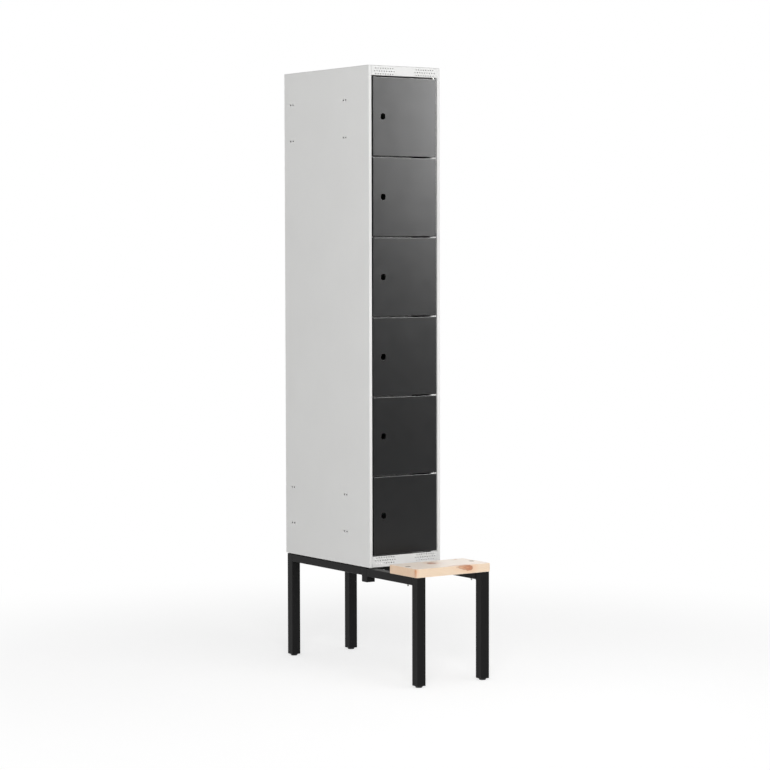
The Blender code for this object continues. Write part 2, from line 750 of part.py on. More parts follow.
def bench_frame(paint):
    """Two rails, two front legs, two stub posts and the cross tube that is bolted to the stand."""
    x = BENCH_HALF - TUBE / 2
    stub_y = FRONT + STUB_FRONT + TUBE / 2
    leg_y = BENCH_FRONT + TUBE / 2
    foot = GLIDE_HEIGHT + GAP
    rail_start = BENCH_FRONT + TUBE + GAP
    rail_end = FRONT + STUB_FRONT - GAP
    stub_bottom = STAND_TOP - RAIL_HEIGHT - STUB_DROP
    for name, side in (("left", -1), ("right", 1)):
        rail = rail_along_y(f"bench_rail_{name}", side * x, rail_start, rail_end, paint)
        combine(rail, bpy.data.objects["seat_bolt_holes"], "DIFFERENCE")
        post(f"bench_leg_{name}", side * x, leg_y, foot, STAND_TOP, paint)
        post(f"stub_post_{name}", side * x, stub_y, stub_bottom, STAND_TOP, paint)
    cross = cross_along_x("bench_cross", x - TUBE / 2 - GAP, stub_y, paint)
    combine(cross, bpy.data.objects["frame_bolt_holes"], "DIFFERENCE")


def glides(plastic):
    """A round foot with a square plug that is pressed into the end of the leg."""
    inside_plug = GLIDE_HEIGHT + GLIDE_RIM
    profile = [
        (0, 0),
        (GLIDE_FLOOR_RADIUS - GLIDE_CHAMFER, 0),
        (GLIDE_FLOOR_RADIUS, GLIDE_CHAMFER),
        (GLIDE_TOP_RADIUS, GLIDE_HEIGHT - GLIDE_RIM),
        (GLIDE_TOP_RADIUS, inside_plug),
        (0, inside_plug),
    ]
    glide = place("glide", turned_mesh("glide", profile, plastic))
    size = TUBE - 2 * TUBE_WALL - 2 * GAP
    plug_outline = rounded_rectangle(size, size, TUBE_ROUND, 1)
    plug_low = GLIDE_HEIGHT + GAP / 3
    plug = place("plug", prism_mesh("plug", plug_outline, plug_low, plug_low + GLIDE_PLUG, along_z))
    combine(glide, plug, "UNION")
    mesh = finished_mesh(glide, [plug])
    base_x = BASE_HALF - TUBE / 2
    bench_x = BENCH_HALF - TUBE / 2
    for side_name, side in (("left", -1), ("right", 1)):
        place(f"glide_rear_{side_name}", mesh, (side * base_x, STAND_BACK - TUBE / 2, 0))
        place(f"glide_front_{side_name}", mesh, (side * bench_x, BENCH_FRONT + TUBE / 2, 0))


def seat_plank(pine):
    """One solid board with eased edges, its front flush with the legs."""
    low = STAND_TOP + GAP
    outline = rounded_rectangle(SEAT_WIDTH, SEAT_DEPTH, SEAT_CORNER, SEAT_CORNER_STEPS)
    bm = bmesh.new()
    add_prism(bm, outline, -SEAT_THICKNESS / 2, SEAT_THICKNESS / 2, along_z)
    rims = [edge for edge in bm.edges if abs(edge.verts[0].co.z - edge.verts[1].co.z) < SEAT_EDGE]
    bmesh.ops.bevel(bm, geom=rims, offset=SEAT_EDGE, segments=2, profile=0.5, affect="EDGES")
    mesh = mesh_from("seat_plank", bm, pine)
    centre = (0, BENCH_FRONT + SEAT_DEPTH / 2, low + SEAT_THICKNESS / 2)
    plank = place("seat_plank", mesh, centre)
    combine(plank, bpy.data.objects["seat_bolt_holes"], "DIFFERENCE")
    combine(plank, bpy.data.objects["seat_recesses"], "DIFFERENCE")


def locker_shell(paint):
    side_panel("side_panel_left", -1, paint)
    side_panel("side_panel_right", 1, paint)
    back_panel(paint)
    top_panel(paint)
    bottom_panel(paint)
    top_front_rail(paint)
    bottom_front_rail(paint)
    mesh = shelf_mesh(paint)
    for number in range(1, DOOR_COUNT):
        place(f"shelf_{number}", mesh, (0, 0, gap_level(number)))


def doors_and_hinges(door_paint, frame_paint, steel):
    first = bracket_mesh(frame_paint, FRONT + SHEET + GAP, FIRST_LUG_LOW)
    others = bracket_mesh(frame_paint, FRONT - DOOR_PROUD + LUG_BACK, LUG_LOW)
    for number in range(DOOR_COUNT + 1):
        mesh = others if number else first
        place(f"hinge_bracket_{number + 1}", mesh, (0, 0, gap_level(number)))
        hinge_pin(number, steel)
    door = door_mesh(door_paint)
    for number in range(DOOR_COUNT):
        level = gap_level(number) - DOOR_PITCH / 2
        place(f"door_{number + 1}", door, (PIVOT_X, PIVOT_Y, level))


def main():
    clear_scene()
    frame_paint = finish("light grey paint", (0.72, 0.73, 0.72), 0.45, 0.0)
    door_paint = finish("charcoal paint", (0.035, 0.037, 0.040), 0.35, 0.0)
    stand_paint = finish("black paint", (0.022, 0.022, 0.024), 0.45, 0.0)
    steel = finish("zinc-plated steel", (0.60, 0.60, 0.58), 0.35, 1.0)
    plastic = finish("black plastic", (0.015, 0.015, 0.015), 0.5, 0.0)
    pine = finish("oiled pine", (0.78, 0.60, 0.40), 0.5, 0.0)
    bolt_hole_tools()
    locker_shell(frame_paint)
    doors_and_hinges(door_paint, frame_paint, steel)
    stand(stand_paint)
    bench_frame(stand_paint)
    glides(plastic)
    seat_plank(pine)
    seat_bolts(steel)
    locker_bolts(steel)
    frame_bolts(steel)


main()
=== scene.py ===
"""Looks of a six-door steel locker on a square-tube stand whose front half is a bench.

Lengths are in metres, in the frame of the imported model: X to the right seen from the front, Y to the
back, Z up, with the origin on the floor in the middle of the object.
"""

import json
import math

import bmesh
import bpy
from mathutils import Matrix, Vector

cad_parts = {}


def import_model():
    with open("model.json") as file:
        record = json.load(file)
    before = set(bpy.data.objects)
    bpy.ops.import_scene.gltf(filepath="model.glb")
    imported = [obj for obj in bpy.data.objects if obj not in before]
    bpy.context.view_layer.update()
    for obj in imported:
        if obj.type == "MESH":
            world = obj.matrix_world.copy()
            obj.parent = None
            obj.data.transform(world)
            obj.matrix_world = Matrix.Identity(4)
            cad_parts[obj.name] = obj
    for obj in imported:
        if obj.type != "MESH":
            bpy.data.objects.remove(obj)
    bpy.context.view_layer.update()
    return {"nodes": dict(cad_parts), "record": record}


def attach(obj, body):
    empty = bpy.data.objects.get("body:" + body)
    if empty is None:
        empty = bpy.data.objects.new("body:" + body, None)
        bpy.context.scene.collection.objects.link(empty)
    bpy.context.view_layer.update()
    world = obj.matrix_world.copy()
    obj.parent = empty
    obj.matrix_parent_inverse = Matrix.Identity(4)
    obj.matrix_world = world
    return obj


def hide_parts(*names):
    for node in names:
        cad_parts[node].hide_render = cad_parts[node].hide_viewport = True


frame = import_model()

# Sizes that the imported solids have
LOCKER_WIDTH = 0.300
LOCKER_DEPTH = 0.550
LOCKER_HEIGHT = 1.740
LOCKER_BOTTOM = 0.380
BENCH_REACH = 0.290
STAND_PROUD = 0.005
SHEET = 0.001
BEND = 0.001
GAP = 0.0003
STILE = 0.0115
TOP_RAIL = 0.035
BOTTOM_RAIL = 0.038
RAIL_HEM = 0.012
HINGE_JAMB = 0.040
STOP_DEPTH = 0.016
STOP_WIDTH = 0.0125
LIP_DEPTH = 0.0173
LIP_HEIGHT = 0.024
LIP_END = 0.040
REAR_FLANGE = 0.015
VENT_RADIUS = 0.002
VENT_PITCH = 0.0102
VENT_ROW_PITCH = 0.0098
VENT_ROWS = (8, 9, 8)
VENT_GROUP_X = 0.085
VENT_MARGIN = 0.0052
SIDE_HOLE_RADIUS = 0.0035
SIDE_HOLE_DEPTHS = (0.1455, 0.1605, 0.491, 0.507)
SIDE_HOLE_LEVELS = (0.114, 0.244)
DOOR_COUNT = 6
DOOR_SIDE_GAP = 0.005
DOOR_GAP = 0.0048
DOOR_DEPTH = 0.016
DOOR_PROUD = 0.001
DOOR_EDGE = 0.0015
DOOR_RETURN = 0.008
LOCK_INSET = 0.0415
LOCK_RADIUS = 0.011
LOCK_WIDTH = 0.019
PIVOT_INSET = 0.0075
PIN_RADIUS = 0.0025
PIN_FIT = 0.0001
TUBE = 0.034
RAIL_HEIGHT = 0.028
TUBE_WALL = 0.002
TUBE_ROUND = 0.0025
TUBE_ROUND_INSIDE = 0.001
LOCKER_LIFT = 0.004
BENCH_HALF = 0.151
BASE_HALF = 0.142
STUB_DROP = 0.020
STUB_FRONT = 0.017
GLIDE_HEIGHT = 0.006
GLIDE_PLUG = 0.018
SEAT_WIDTH = 0.310
SEAT_DEPTH = 0.162
SEAT_THICKNESS = 0.0295
SEAT_CORNER = 0.004
SEAT_EDGE = 0.002
SEAT_RECESS_RADIUS = 0.009
SEAT_RECESS_DEPTH = 0.006
SEAT_BOLT_X = 0.134
SEAT_BOLT_RADIUS = 0.003
SEAT_BOLT_END = 0.009
HEAD_RADIUS = 0.008
HEAD_HEIGHT = 0.0042
BOLT_RADIUS = 0.004
BOLT_CLEARANCE = 0.0003
FRAME_BOLT_X = 0.085
LOCKER_BOLT_X = 0.1265
LOCKER_BOLT_DEPTHS = (0.110, 0.480)

# Sizes of finer details
PUNCH_ROUND = 0.0003
EASED_EDGE = 0.0002
RIB_DEPTH = 0.0008
RIB_START = 0.0004
RECESS_SHADE_FADE = 0.0025
HEAD_ROUND = 0.0003
HEAD_SIDE = 0.0009
HEAD_RIM = 0.001
CROWN_FLAT = 0.0035
SOCKET_RADIUS = 0.0025
SOCKET_DEPTH = 0.0026
THREAD_PITCH = 0.001
THREAD_DEPTH = 0.0005
THREAD_START = 0.0006
THREAD_HIDDEN = 0.002
THREAD_TIP = 0.001
BEAD_RADIUS = 0.0017
BEAD_END_SHARE = 0.35
BEAD_GROWTH = 6
BEAD_SWELL = 0.13
BEAD_SWELL_LENGTH = 1.6
BEAD_RIPPLE = 0.0011
BEAD_INSET = 0.003
BEAD_END_INSET = 0.002
BEAD_BACK_INSET = 0.0022

# A glide's foot, rim and waist, as radius and height
GLIDE_PROFILE = (
    (0, 0), (0.0106, 0), (0.0112, 0.0002), (0.0115, 0.0007), (0.0121, 0.0022), (0.0119, 0.0027),
    (0.0119, 0.0031), (0.0125, 0.0035), (0.0130, 0.0040), (0.0130, 0.0057), (0.0127, 0.0062), (0, 0.0062),
)

# Places that follow from the sizes
SIDES = (("left", -1), ("right", 1))
HALF_WIDTH = LOCKER_WIDTH / 2
LOCKER_TOP = LOCKER_BOTTOM + LOCKER_HEIGHT
FRONT = BENCH_REACH - (BENCH_REACH + LOCKER_DEPTH + STAND_PROUD) / 2
BACK = FRONT + LOCKER_DEPTH
BENCH_FRONT = FRONT - BENCH_REACH
STAND_BACK = BACK + STAND_PROUD
STAND_TOP = LOCKER_BOTTOM - LOCKER_LIFT
RAIL_BOTTOM = STAND_TOP - RAIL_HEIGHT
SEAT_TOP = STAND_TOP + GAP + SEAT_THICKNESS
SEAT_Y = BENCH_FRONT + SEAT_DEPTH / 2
BENCH_X = BENCH_HALF - TUBE / 2
BASE_X = BASE_HALF - TUBE / 2
FRONT_LEG_Y = BENCH_FRONT + TUBE / 2
REAR_LEG_Y = STAND_BACK - TUBE / 2
JAMB_INNER = HALF_WIDTH - STILE
DOOR_WIDTH = LOCKER_WIDTH - 2 * (STILE + DOOR_SIDE_GAP)
OPENING_HEIGHT = LOCKER_HEIGHT - TOP_RAIL - BOTTOM_RAIL
DOOR_HEIGHT = (OPENING_HEIGHT - (DOOR_COUNT + 1) * DOOR_GAP) / DOOR_COUNT
DOOR_PITCH = DOOR_HEIGHT + DOOR_GAP
PIVOT_X = DOOR_WIDTH / 2 - PIVOT_INSET
PIVOT_Y = FRONT - DOOR_PROUD + DOOR_DEPTH / 2

# Fineness of the shapes
BEND_STEPS = 6
CORNER_STEPS = 6
VENT_SIDES = 20
HOLE_SIDES = 24
ROUND_SIDES = 48
LOCK_ARC_STEPS = 12
CUT_EDGE_STEPS = 4
CUT_EDGE_ROUND = 0.6
BOARD_EDGE_STEPS = 4
BOLT_SIDES = 32
CROWN_STEPS = 10
PLUG_RIBS = 6
PLUG_CORNER_STEPS = 3
BEAD_SIDES = 10
BEAD_RINGS = 4
ROUND_MIDDLE = 0.3
SPLIT_EDGE = 0.000005
SHARP_ANGLE = 40
CUT_PAST = 0.004

# Camera, fitted to the photograph, with its yaw, pitch and roll in degrees
CAMERA_PLACE = (-4.8699, -7.1729, 1.4754)
CAMERA_TURN = (34.201, 3.096, 0.124)
CAMERA_LENS = 114.65
CAMERA_SENSOR = 36.0
CAMERA_SIGHT = 60.0

# The Mix node's sockets for colours
MIX_FACTOR = 0
MIX_FIRST = 6
MIX_SECOND = 7
MIX_RESULT = 2

# Painted shade in gaps: its reach, how open a place is where it is full and where it ends, its strength and
# depth
CREVICE_SHADE_REACH = 0.02
CREVICE_SHADE_FULL = 0.10
CREVICE_SHADE_ENDS = 0.26
CREVICE_SHADE_STRENGTH = 0.95
CREVICE_SHADE_TONE = 0.05

# Colours of the metal and the plastic
ZINC_WARM = (0.62, 0.60, 0.53)
ZINC_COOL = (0.60, 0.63, 0.66)
ZINC_DULL = (0.36, 0.35, 0.32)
PLASTIC = (0.012, 0.012, 0.013)
PLASTIC_SCUFFED = (0.075, 0.072, 0.068)

# Colours of the pine
EARLY_WOOD = (0.850, 0.680, 0.510)
LATE_WOOD = (0.740, 0.470, 0.270)
PALE_PATCH = (0.890, 0.740, 0.590)
FIBRE = (0.66, 0.45, 0.28)
TOP_SHEEN_TONE = (0.910, 0.840, 0.775)
KNOT_GLOW = (0.760, 0.360, 0.165)
KNOT_CORE = (0.290, 0.050, 0.020)
KNOT_RIM = (0.130, 0.045, 0.028)
BOLT_RECESS_SHADE = (0.10, 0.09, 0.08)
END_GRAIN = (0.97, 0.90, 0.86)
END_PORES = (0.66, 0.50, 0.40)
EDGE_WEAR_AND_HIGHLIGHT = (0.96, 0.86, 0.74)


def gap_level(number):
    """Height of the middle of a gap: 0 is above the first door, 6 below the last."""
    return LOCKER_TOP - TOP_RAIL - DOOR_GAP / 2 - number * DOOR_PITCH


# Materials


class Tree:
    """A material's nodes, added and joined by short calls."""

    def __init__(self, name):
        self.material = bpy.data.materials.new(name)
        self.material.use_nodes = True
        self.nodes = self.material.node_tree.nodes
        self.links = self.material.node_tree.links
        self.shader = self.nodes["Principled BSDF"]
        coordinates = self.nodes.new("ShaderNodeTexCoord")
        self.place = coordinates.outputs["Object"]
        self.facing = coordinates.outputs["Normal"]

    def set(self, node, name, value):
        if isinstance(value, bpy.types.NodeSocket):
            self.links.new(value, node.inputs[name])
        else:
            node.inputs[name].default_value = value

    def node(self, kind, **inputs):
        node = self.nodes.new(kind)
        for name, value in inputs.items():
            self.set(node, name.replace("_", " "), value)
        return node

    def vectors(self, operation, first, second=None, output=0):
        node = self.nodes.new("ShaderNodeVectorMath")
        node.operation = operation
        self.set(node, 0, first)
        if second is not None:
            self.set(node, 1, second)
        return node.outputs[output]

    def parts(self, vector):
        """The sockets X, Y and Z of a vector."""
        return self.node("ShaderNodeSeparateXYZ", Vector=vector).outputs

    def scaled(self, scale):
        """The place on the object, stretched along each axis."""
        return self.vectors("MULTIPLY", self.place, scale)

    def noise(self, scale, detail=2.0, roughness=0.5, vector=None):
        node = self.node("ShaderNodeTexNoise", Scale=scale, Detail=detail, Roughness=roughness)
        self.set(node, "Vector", vector or self.place)
        return node.outputs["Fac"]

    def maths(self, operation, a, b=0.0):
        node = self.nodes.new("ShaderNodeMath")
        node.operation = operation
        self.set(node, 0, a)
        self.set(node, 1, b)
        return node.outputs[0]

    def product(self, a, b):
        return self.maths("MULTIPLY", a, b)

    def total(self, a, b):
        return self.maths("ADD", a, b)

    def ranged(self, value, low, high, out_low=0.0, out_high=1.0, smooth=False):
        """The value carried from low and high to out_low and out_high, and held beyond them."""
        node = self.nodes.new("ShaderNodeMapRange")
        node.interpolation_type = "SMOOTHSTEP" if smooth else "LINEAR"
        names = ("Value", "From Min", "From Max", "To Min", "To Max")
        for name, number in zip(names, (value, low, high, out_low, out_high)):
            self.set(node, name, number)
        return node.outputs["Result"]

    def mixed(self, factor, first, second, blend="MIX"):
        node = self.nodes.new("ShaderNodeMix")
        node.data_type = "RGBA"
        node.blend_type = blend
        self.set(node, MIX_FACTOR, factor)
        for socket, colour in ((MIX_FIRST, first), (MIX_SECOND, second)):
            linked = isinstance(colour, bpy.types.NodeSocket)
            self.set(node, socket, colour if linked else (*colour, 1.0))
        return node.outputs[MIX_RESULT]

    def finish(self, **inputs):
        """The material, with these inputs of its shader set."""
        for name, value in inputs.items():
            self.set(self.shader, name.replace("_", " "), value)
        return self.material

    def bump(self, height, strength, distance, normal=None):
        node = self.node("ShaderNodeBump", Height=height, Strength=strength, Distance=distance)
        if normal is not None:
            self.set(node, "Normal", normal)
        return node.outputs["Normal"]

    def edges(self, radius):
        """About 0 on the flats, rising to 1 where the surface folds within the radius."""
        rounded = self.node("ShaderNodeBevel", Radius=radius)
        rounded.samples = 4
        true_normal = self.node("ShaderNodeNewGeometry").outputs["Normal"]
        agreement = self.vectors("DOT_PRODUCT", rounded.outputs["Normal"], true_normal, "Value")
        return self.ranged(agreement, 0.995, 0.85)

    def folds(self):
        """0 where a face lies square to the object's axes, rising to 1 on a rounded corner."""
        sizes = [self.maths("ABSOLUTE", part) for part in self.parts(self.facing)]
        squarest = self.maths("MAXIMUM", self.maths("MAXIMUM", sizes[0], sizes[1]), sizes[2])
        return self.ranged(squarest, 0.99, 0.90)

    def painted_crevice_shade(self):
        """How much painted shade a narrow place gets: most where it is nearly shut in, and 0 in the open."""
        node = self.node("ShaderNodeAmbientOcclusion", Distance=CREVICE_SHADE_REACH)
        node.samples = 8
        return self.ranged(node.outputs["AO"], CREVICE_SHADE_FULL, CREVICE_SHADE_ENDS, CREVICE_SHADE_STRENGTH, 0.0)


def powder_coat(name, colour, wear_and_highlight, roughness, peel, mottle, edge_radius, specular, upper_highlight=0.0):
    """Baked powder paint: orange peel, faint clouding, thin paint along folds, painted shade in narrow gaps.

    The second colour is the paint's colour along the folds, where it wears thin, and the last argument
    is its share as a painted highlight on roundings that face up.
    Faces to the left and right get no painted shade.
    """
    tree = Tree(name)
    clouds = tree.noise(5.0, 4.0, 0.55)
    grain = tree.noise(900.0, 2.0, 0.6)
    light = tuple(min(1.0, part * (1 + mottle)) for part in colour)
    dark = tuple(part * (1 - mottle) for part in colour)
    tone = tree.mixed(tree.ranged(clouds, 0.3, 0.7), dark, light)
    speck = tree.ranged(grain, 0.35, 0.75, 1.0 - mottle, 1.0 + mottle)
    tone = tree.mixed(1.0, tone, speck, "MULTIPLY")
    rubbed = tree.ranged(tree.noise(60.0, 3.0), 0.4, 0.65, 0.5, 1.0)
    edge = tree.product(tree.edges(edge_radius), rubbed)
    tone = tree.mixed(tree.product(edge, 0.8), tone, wear_and_highlight)
    facing = tree.parts(tree.facing)
    # Painted highlight: roundings that face up take the lighter worn colour, as if lit from above
    if upper_highlight:
        upward = tree.ranged(facing["Z"], 0.05, 0.4, 0.0, upper_highlight)
        tone = tree.mixed(tree.product(tree.folds(), upward), tone, wear_and_highlight)
    # Painted shade: narrow, nearly shut-in places darken to a small share of the colour
    not_side = tree.ranged(tree.maths("ABSOLUTE", facing["X"]), 0.8, 0.95, 1.0, 0.0)
    painted_shade = tree.product(tree.painted_crevice_shade(), not_side)
    tone = tree.mixed(painted_shade, tone, tuple(part * CREVICE_SHADE_TONE for part in colour))
    patches = tree.ranged(tree.noise(24.0, 3.0), 0.3, 0.7, roughness - 0.012, roughness + 0.012)
    rough = tree.total(patches, tree.product(edge, 0.12))
    waves = tree.noise(330.0, 3.0, 0.5)
    normal = tree.bump(waves, peel, 0.0003)
    normal = tree.bump(grain, peel * 0.5, 0.00006, normal)
    return tree.finish(Base_Color=tone, Roughness=rough, Normal=normal, Specular_IOR_Level=specular)


def zinc_plate(name):
    """Zinc with the faint yellow and blue of its passivation, dulled in patches."""
    tree = Tree(name)
    hue = tree.noise(160.0, 4.0, 0.6)
    tone = tree.mixed(tree.ranged(hue, 0.35, 0.65), ZINC_WARM, ZINC_COOL)
    darkening = tree.ranged(tree.noise(420.0, 4.0, 0.65), 0.5, 0.72, 0.0, 0.45)
    tone = tree.mixed(darkening, tone, ZINC_DULL)
    rough = tree.ranged(tree.noise(300.0, 3.0), 0.3, 0.7, 0.26, 0.46)
    normal = tree.bump(tree.noise(1500.0, 3.0), 0.25, 0.00005)
    return tree.finish(Base_Color=tone, Roughness=rough, Normal=normal, Metallic=1.0)


def moulded_plastic(name):
    """Black moulded plastic with a fine spark texture, scuffed grey near the floor."""
    tree = Tree(name)
    low = tree.ranged(tree.parts(tree.place)["Z"], 0.0, 0.004, 1.0, 0.0, smooth=True)
    scuffs = tree.ranged(tree.noise(420.0, 4.0, 0.7), 0.45, 0.7, 0.0, 0.7)
    tone = tree.mixed(tree.product(low, scuffs), PLASTIC, PLASTIC_SCUFFED)
    rough = tree.ranged(tree.noise(200.0, 2.0), 0.3, 0.7, 0.42, 0.58)
    normal = tree.bump(tree.noise(2600.0, 2.0), 0.5, 0.00008)
    return tree.finish(Base_Color=tone, Roughness=rough, Normal=normal)


def along(tree, start, end):
    """Distance from a line through start and end, and how far along it: 0 at start, 1 at end."""
    run = Vector(end) - Vector(start)
    offset = tree.vectors("SUBTRACT", tree.place, start)
    share = tree.vectors("DOT_PRODUCT", offset, run / run.length_squared, "Value")
    foot = tree.vectors("MULTIPLY", run, share)
    return tree.vectors("DISTANCE", offset, foot, "Value"), share


# Each knot's branch: its start, its end, its radius at each, and how strong its core and its rim are
KNOTS = (
    ((-0.0210, -0.3125, 0.360), (-0.0150, -0.3125, 0.422), 0.004, 0.0182, 1.5, 1.0),
    ((-0.0140, -0.4110, 0.4050), (0.0800, -0.4225, 0.3940), 0.007, 0.0105, 1.4, 0.24),
    ((-0.1530, -0.4165, 0.3740), (-0.1530, -0.4165, 0.4040), 0.0052, 0.0052, 0.30, 0.10),
    ((0.1150, -0.2780, 0.3650), (0.1115, -0.2755, 0.4200), 0.002, 0.0055, 0.50, 0.40),
    ((-0.0900, -0.2600, 0.3850), (-0.0980, -0.3900, 0.3600), 0.004, 0.0085, 0.60, 0.50),
    ((-0.0120, -0.4110, 0.4070), (0.0640, -0.4170, 0.4070), 0.0025, 0.0055, 1.0, 0.45),
)
KNOT_SWELL = 0.0075

# The pith in Y and Z: its place in the middle of the board, and how far it drifts per metre of X
PITH = (-0.372, 0.318)
PITH_DRIFT = (0.055, 0.09)
PITH_SWAY = 0.011
RINGS_PER_METRE = 235.0


def growth_radius(tree):
    """Distance from the pith, which runs under the board a little askew, with a slow sway."""
    x, y, z = tree.parts(tree.place)
    across = tree.maths("SUBTRACT", y, tree.total(tree.product(x, PITH_DRIFT[0]), PITH[0]))
    up = tree.maths("SUBTRACT", z, tree.total(tree.product(x, PITH_DRIFT[1]), PITH[1]))
    square = tree.total(tree.product(across, across), tree.product(up, up))
    sway = tree.noise(1.0, 3.0, 0.5, tree.scaled((3.2, 9.0, 9.0)))
    return tree.total(tree.maths("SQRT", square), tree.ranged(sway, 0.0, 1.0, -PITH_SWAY, PITH_SWAY))


def knot(tree, start, end, thin, thick):
    """The branch's body, rim and halo, each 0 to 1, and its ringed core and its glow.

    near is the distance from the branch's middle in radii, with the branch's last fifth rounded off.
    The core and the glow grow stronger towards the branch's end.
    """
    apart, share = along(tree, start, end)
    width = tree.ranged(share, 0.0, 1.0, thin, thick)
    wobble = tree.ranged(tree.noise(90.0, 2.0), 0.3, 0.7, 0.84, 1.16)
    near = tree.maths("DIVIDE", tree.product(apart, wobble), width)
    beyond = tree.maths("MAXIMUM", tree.product(tree.maths("SUBTRACT", share, 0.8), 5.0), 0.0)
    near = tree.maths("SQRT", tree.total(tree.product(near, near), tree.product(beyond, beyond)))
    present = tree.ranged(share, -0.12, 0.04, smooth=True)
    body = tree.product(tree.ranged(near, 0.80, 1.10, 1.0, 0.0, smooth=True), present)
    off_rim = tree.maths("ABSOLUTE", tree.maths("SUBTRACT", near, 0.96))
    rim = tree.product(tree.ranged(off_rim, 0.0, 0.22, 1.0, 0.0, smooth=True), present)
    halo = tree.product(tree.ranged(near, 0.9, 3.0, 1.0, 0.0, smooth=True), present)
    turns = tree.ranged(tree.maths("SINE", tree.product(near, 17.0)), -1.0, 1.0, 0.55, 1.0)
    core = tree.product(tree.product(body, turns), tree.ranged(share, 0.2, 0.9, 0.15, 0.5))
    warm = tree.total(tree.product(halo, 0.36), tree.product(body, 0.54))
    glow = tree.product(warm, tree.ranged(share, 0.15, 0.85, 0.35, 1.0))
    return body, rim, halo, core, glow


def strongest(tree, values):
    """The greatest of the values at each place."""
    greatest = values[0]
    for value in values[1:]:
        greatest = tree.maths("MAXIMUM", greatest, value)
    return greatest


def pine_board(name):
    """Flat-sawn pine along X: growth rings, knots, fibres and pores under a thin lacquer, with a painted
    sheen on top, edges paler from wear and painted highlight, and painted shade in the bolt recesses.
    """
    tree = Tree(name)
    radius = growth_radius(tree)
    knots = []
    for start, end, thin, thick, core_strength, rim_strength in KNOTS:
        body, rim, halo, core, glow = knot(tree, start, end, thin, thick)
        radius = tree.total(radius, tree.product(halo, KNOT_SWELL))
        knots.append((body, glow, tree.product(core, core_strength), tree.product(rim, rim_strength)))
    bodies, glows, cores, rims = (strongest(tree, values) for values in zip(*knots))
    turn = tree.maths("FRACT", tree.product(radius, RINGS_PER_METRE))
    rise = tree.ranged(turn, 0.25, 0.9, smooth=True)
    fall = tree.ranged(turn, 0.92, 1.0, 1.0, 0.0, smooth=True)
    uneven = tree.ranged(tree.noise(1.0, 3.0, 0.6, tree.scaled((5.0, 60.0, 60.0))), 0.3, 0.7, 0.3, 1.0)
    late = tree.product(tree.product(rise, fall), uneven)
    fibres = tree.noise(1.0, 4.0, 0.65, tree.scaled((22.0, 900.0, 900.0)))
    tone = tree.mixed(tree.product(late, 0.48), EARLY_WOOD, LATE_WOOD)
    tone = tree.mixed(tree.ranged(tree.noise(7.0, 3.0), 0.35, 0.7, 0.0, 0.4), tone, PALE_PATCH)
    tone = tree.mixed(tree.ranged(fibres, 0.35, 0.7, 0.0, 0.12), tone, FIBRE)
    facing = tree.parts(tree.facing)
    # Painted sheen: faces that look up turn paler, in place of the lacquer's grazing reflection
    tone = tree.mixed(tree.ranged(facing["Z"], 0.8, 0.98, 0.0, 0.7), tone, TOP_SHEEN_TONE)
    tone = tree.mixed(glows, tone, KNOT_GLOW)
    tone = tree.mixed(cores, tone, KNOT_CORE)
    tone = tree.mixed(rims, tone, KNOT_RIM)
    # Painted shade in each bolt recess, fading out over a ring on the top round it
    recess_shade_end = SEAT_RECESS_RADIUS + RECESS_SHADE_FADE
    for x in (-SEAT_BOLT_X, SEAT_BOLT_X):
        apart = along(tree, (x, SEAT_Y, 0.0), (x, SEAT_Y, 1.0))[0]
        darkening = tree.ranged(apart, SEAT_RECESS_RADIUS, recess_shade_end, 0.9, 0.0, smooth=True)
        tone = tree.mixed(darkening, tone, BOLT_RECESS_SHADE)
    end_face = tree.ranged(tree.maths("ABSOLUTE", facing["X"]), 0.6, 0.9)
    pores = tree.ranged(tree.noise(1700.0, 3.0, 0.6), 0.4, 0.7, 0.0, 0.5)
    end_tone = tree.mixed(1.0, tone, tree.mixed(pores, END_GRAIN, END_PORES), "MULTIPLY")
    tone = tree.mixed(tree.product(end_face, 0.85), tone, end_tone)
    # Edges turn paler: partly wear, partly a painted highlight where they would catch the light
    tone = tree.mixed(tree.product(tree.edges(0.0018), 0.6), tone, EDGE_WEAR_AND_HIGHLIGHT)
    rough = tree.total(tree.ranged(fibres, 0.3, 0.7, 0.34, 0.46), tree.product(end_face, 0.14))
    rough = tree.maths("SUBTRACT", rough, tree.product(late, 0.05))
    raised = tree.total(late, tree.product(bodies, 0.6))
    normal = tree.bump(raised, 0.35, 0.00012)
    normal = tree.bump(fibres, 0.35, 0.00010, normal)
    return tree.finish(Base_Color=tone, Roughness=rough, Normal=normal, Coat_Weight=0.12, Coat_Roughness=0.35)


# The finish of each material slot
FINISHES = {
    "body_paint": powder_coat(
        "light_grey_powder",
        colour=(0.715, 0.715, 0.705),
        wear_and_highlight=(0.78, 0.78, 0.775),
        roughness=0.48, peel=0.14, mottle=0.012, edge_radius=0.0012, specular=0.22,
    ),
    "door_paint": powder_coat(
        "charcoal_powder",
        colour=(0.0036, 0.0038, 0.0041),
        wear_and_highlight=(0.05, 0.051, 0.052),
        roughness=0.297, peel=0.12, mottle=0.03, edge_radius=0.0006, specular=0.42, upper_highlight=0.6,
    ),
    "stand_paint": powder_coat(
        "black_powder",
        colour=(0.0085, 0.0084, 0.0085),
        wear_and_highlight=(0.050, 0.049, 0.048),
        roughness=0.36, peel=0.20, mottle=0.06, edge_radius=0.0014, specular=0.10,
    ),
    "zinc_steel": zinc_plate("zinc_plate"),
    "black_plastic": moulded_plastic("black_plastic"),
    "pine": pine_board("lacquered_pine"),
}


# Shapes


def along_x(a, b, place):
    return (place, a, b)


def along_y(a, b, place):
    return (a, place, b)


def along_z(a, b, place):
    return (a, b, place)


def mesh_from(name, bm):
    bmesh.ops.recalc_face_normals(bm, faces=bm.faces)
    mesh = bpy.data.meshes.new(name)
    bm.to_mesh(mesh)
    bm.free()
    return mesh


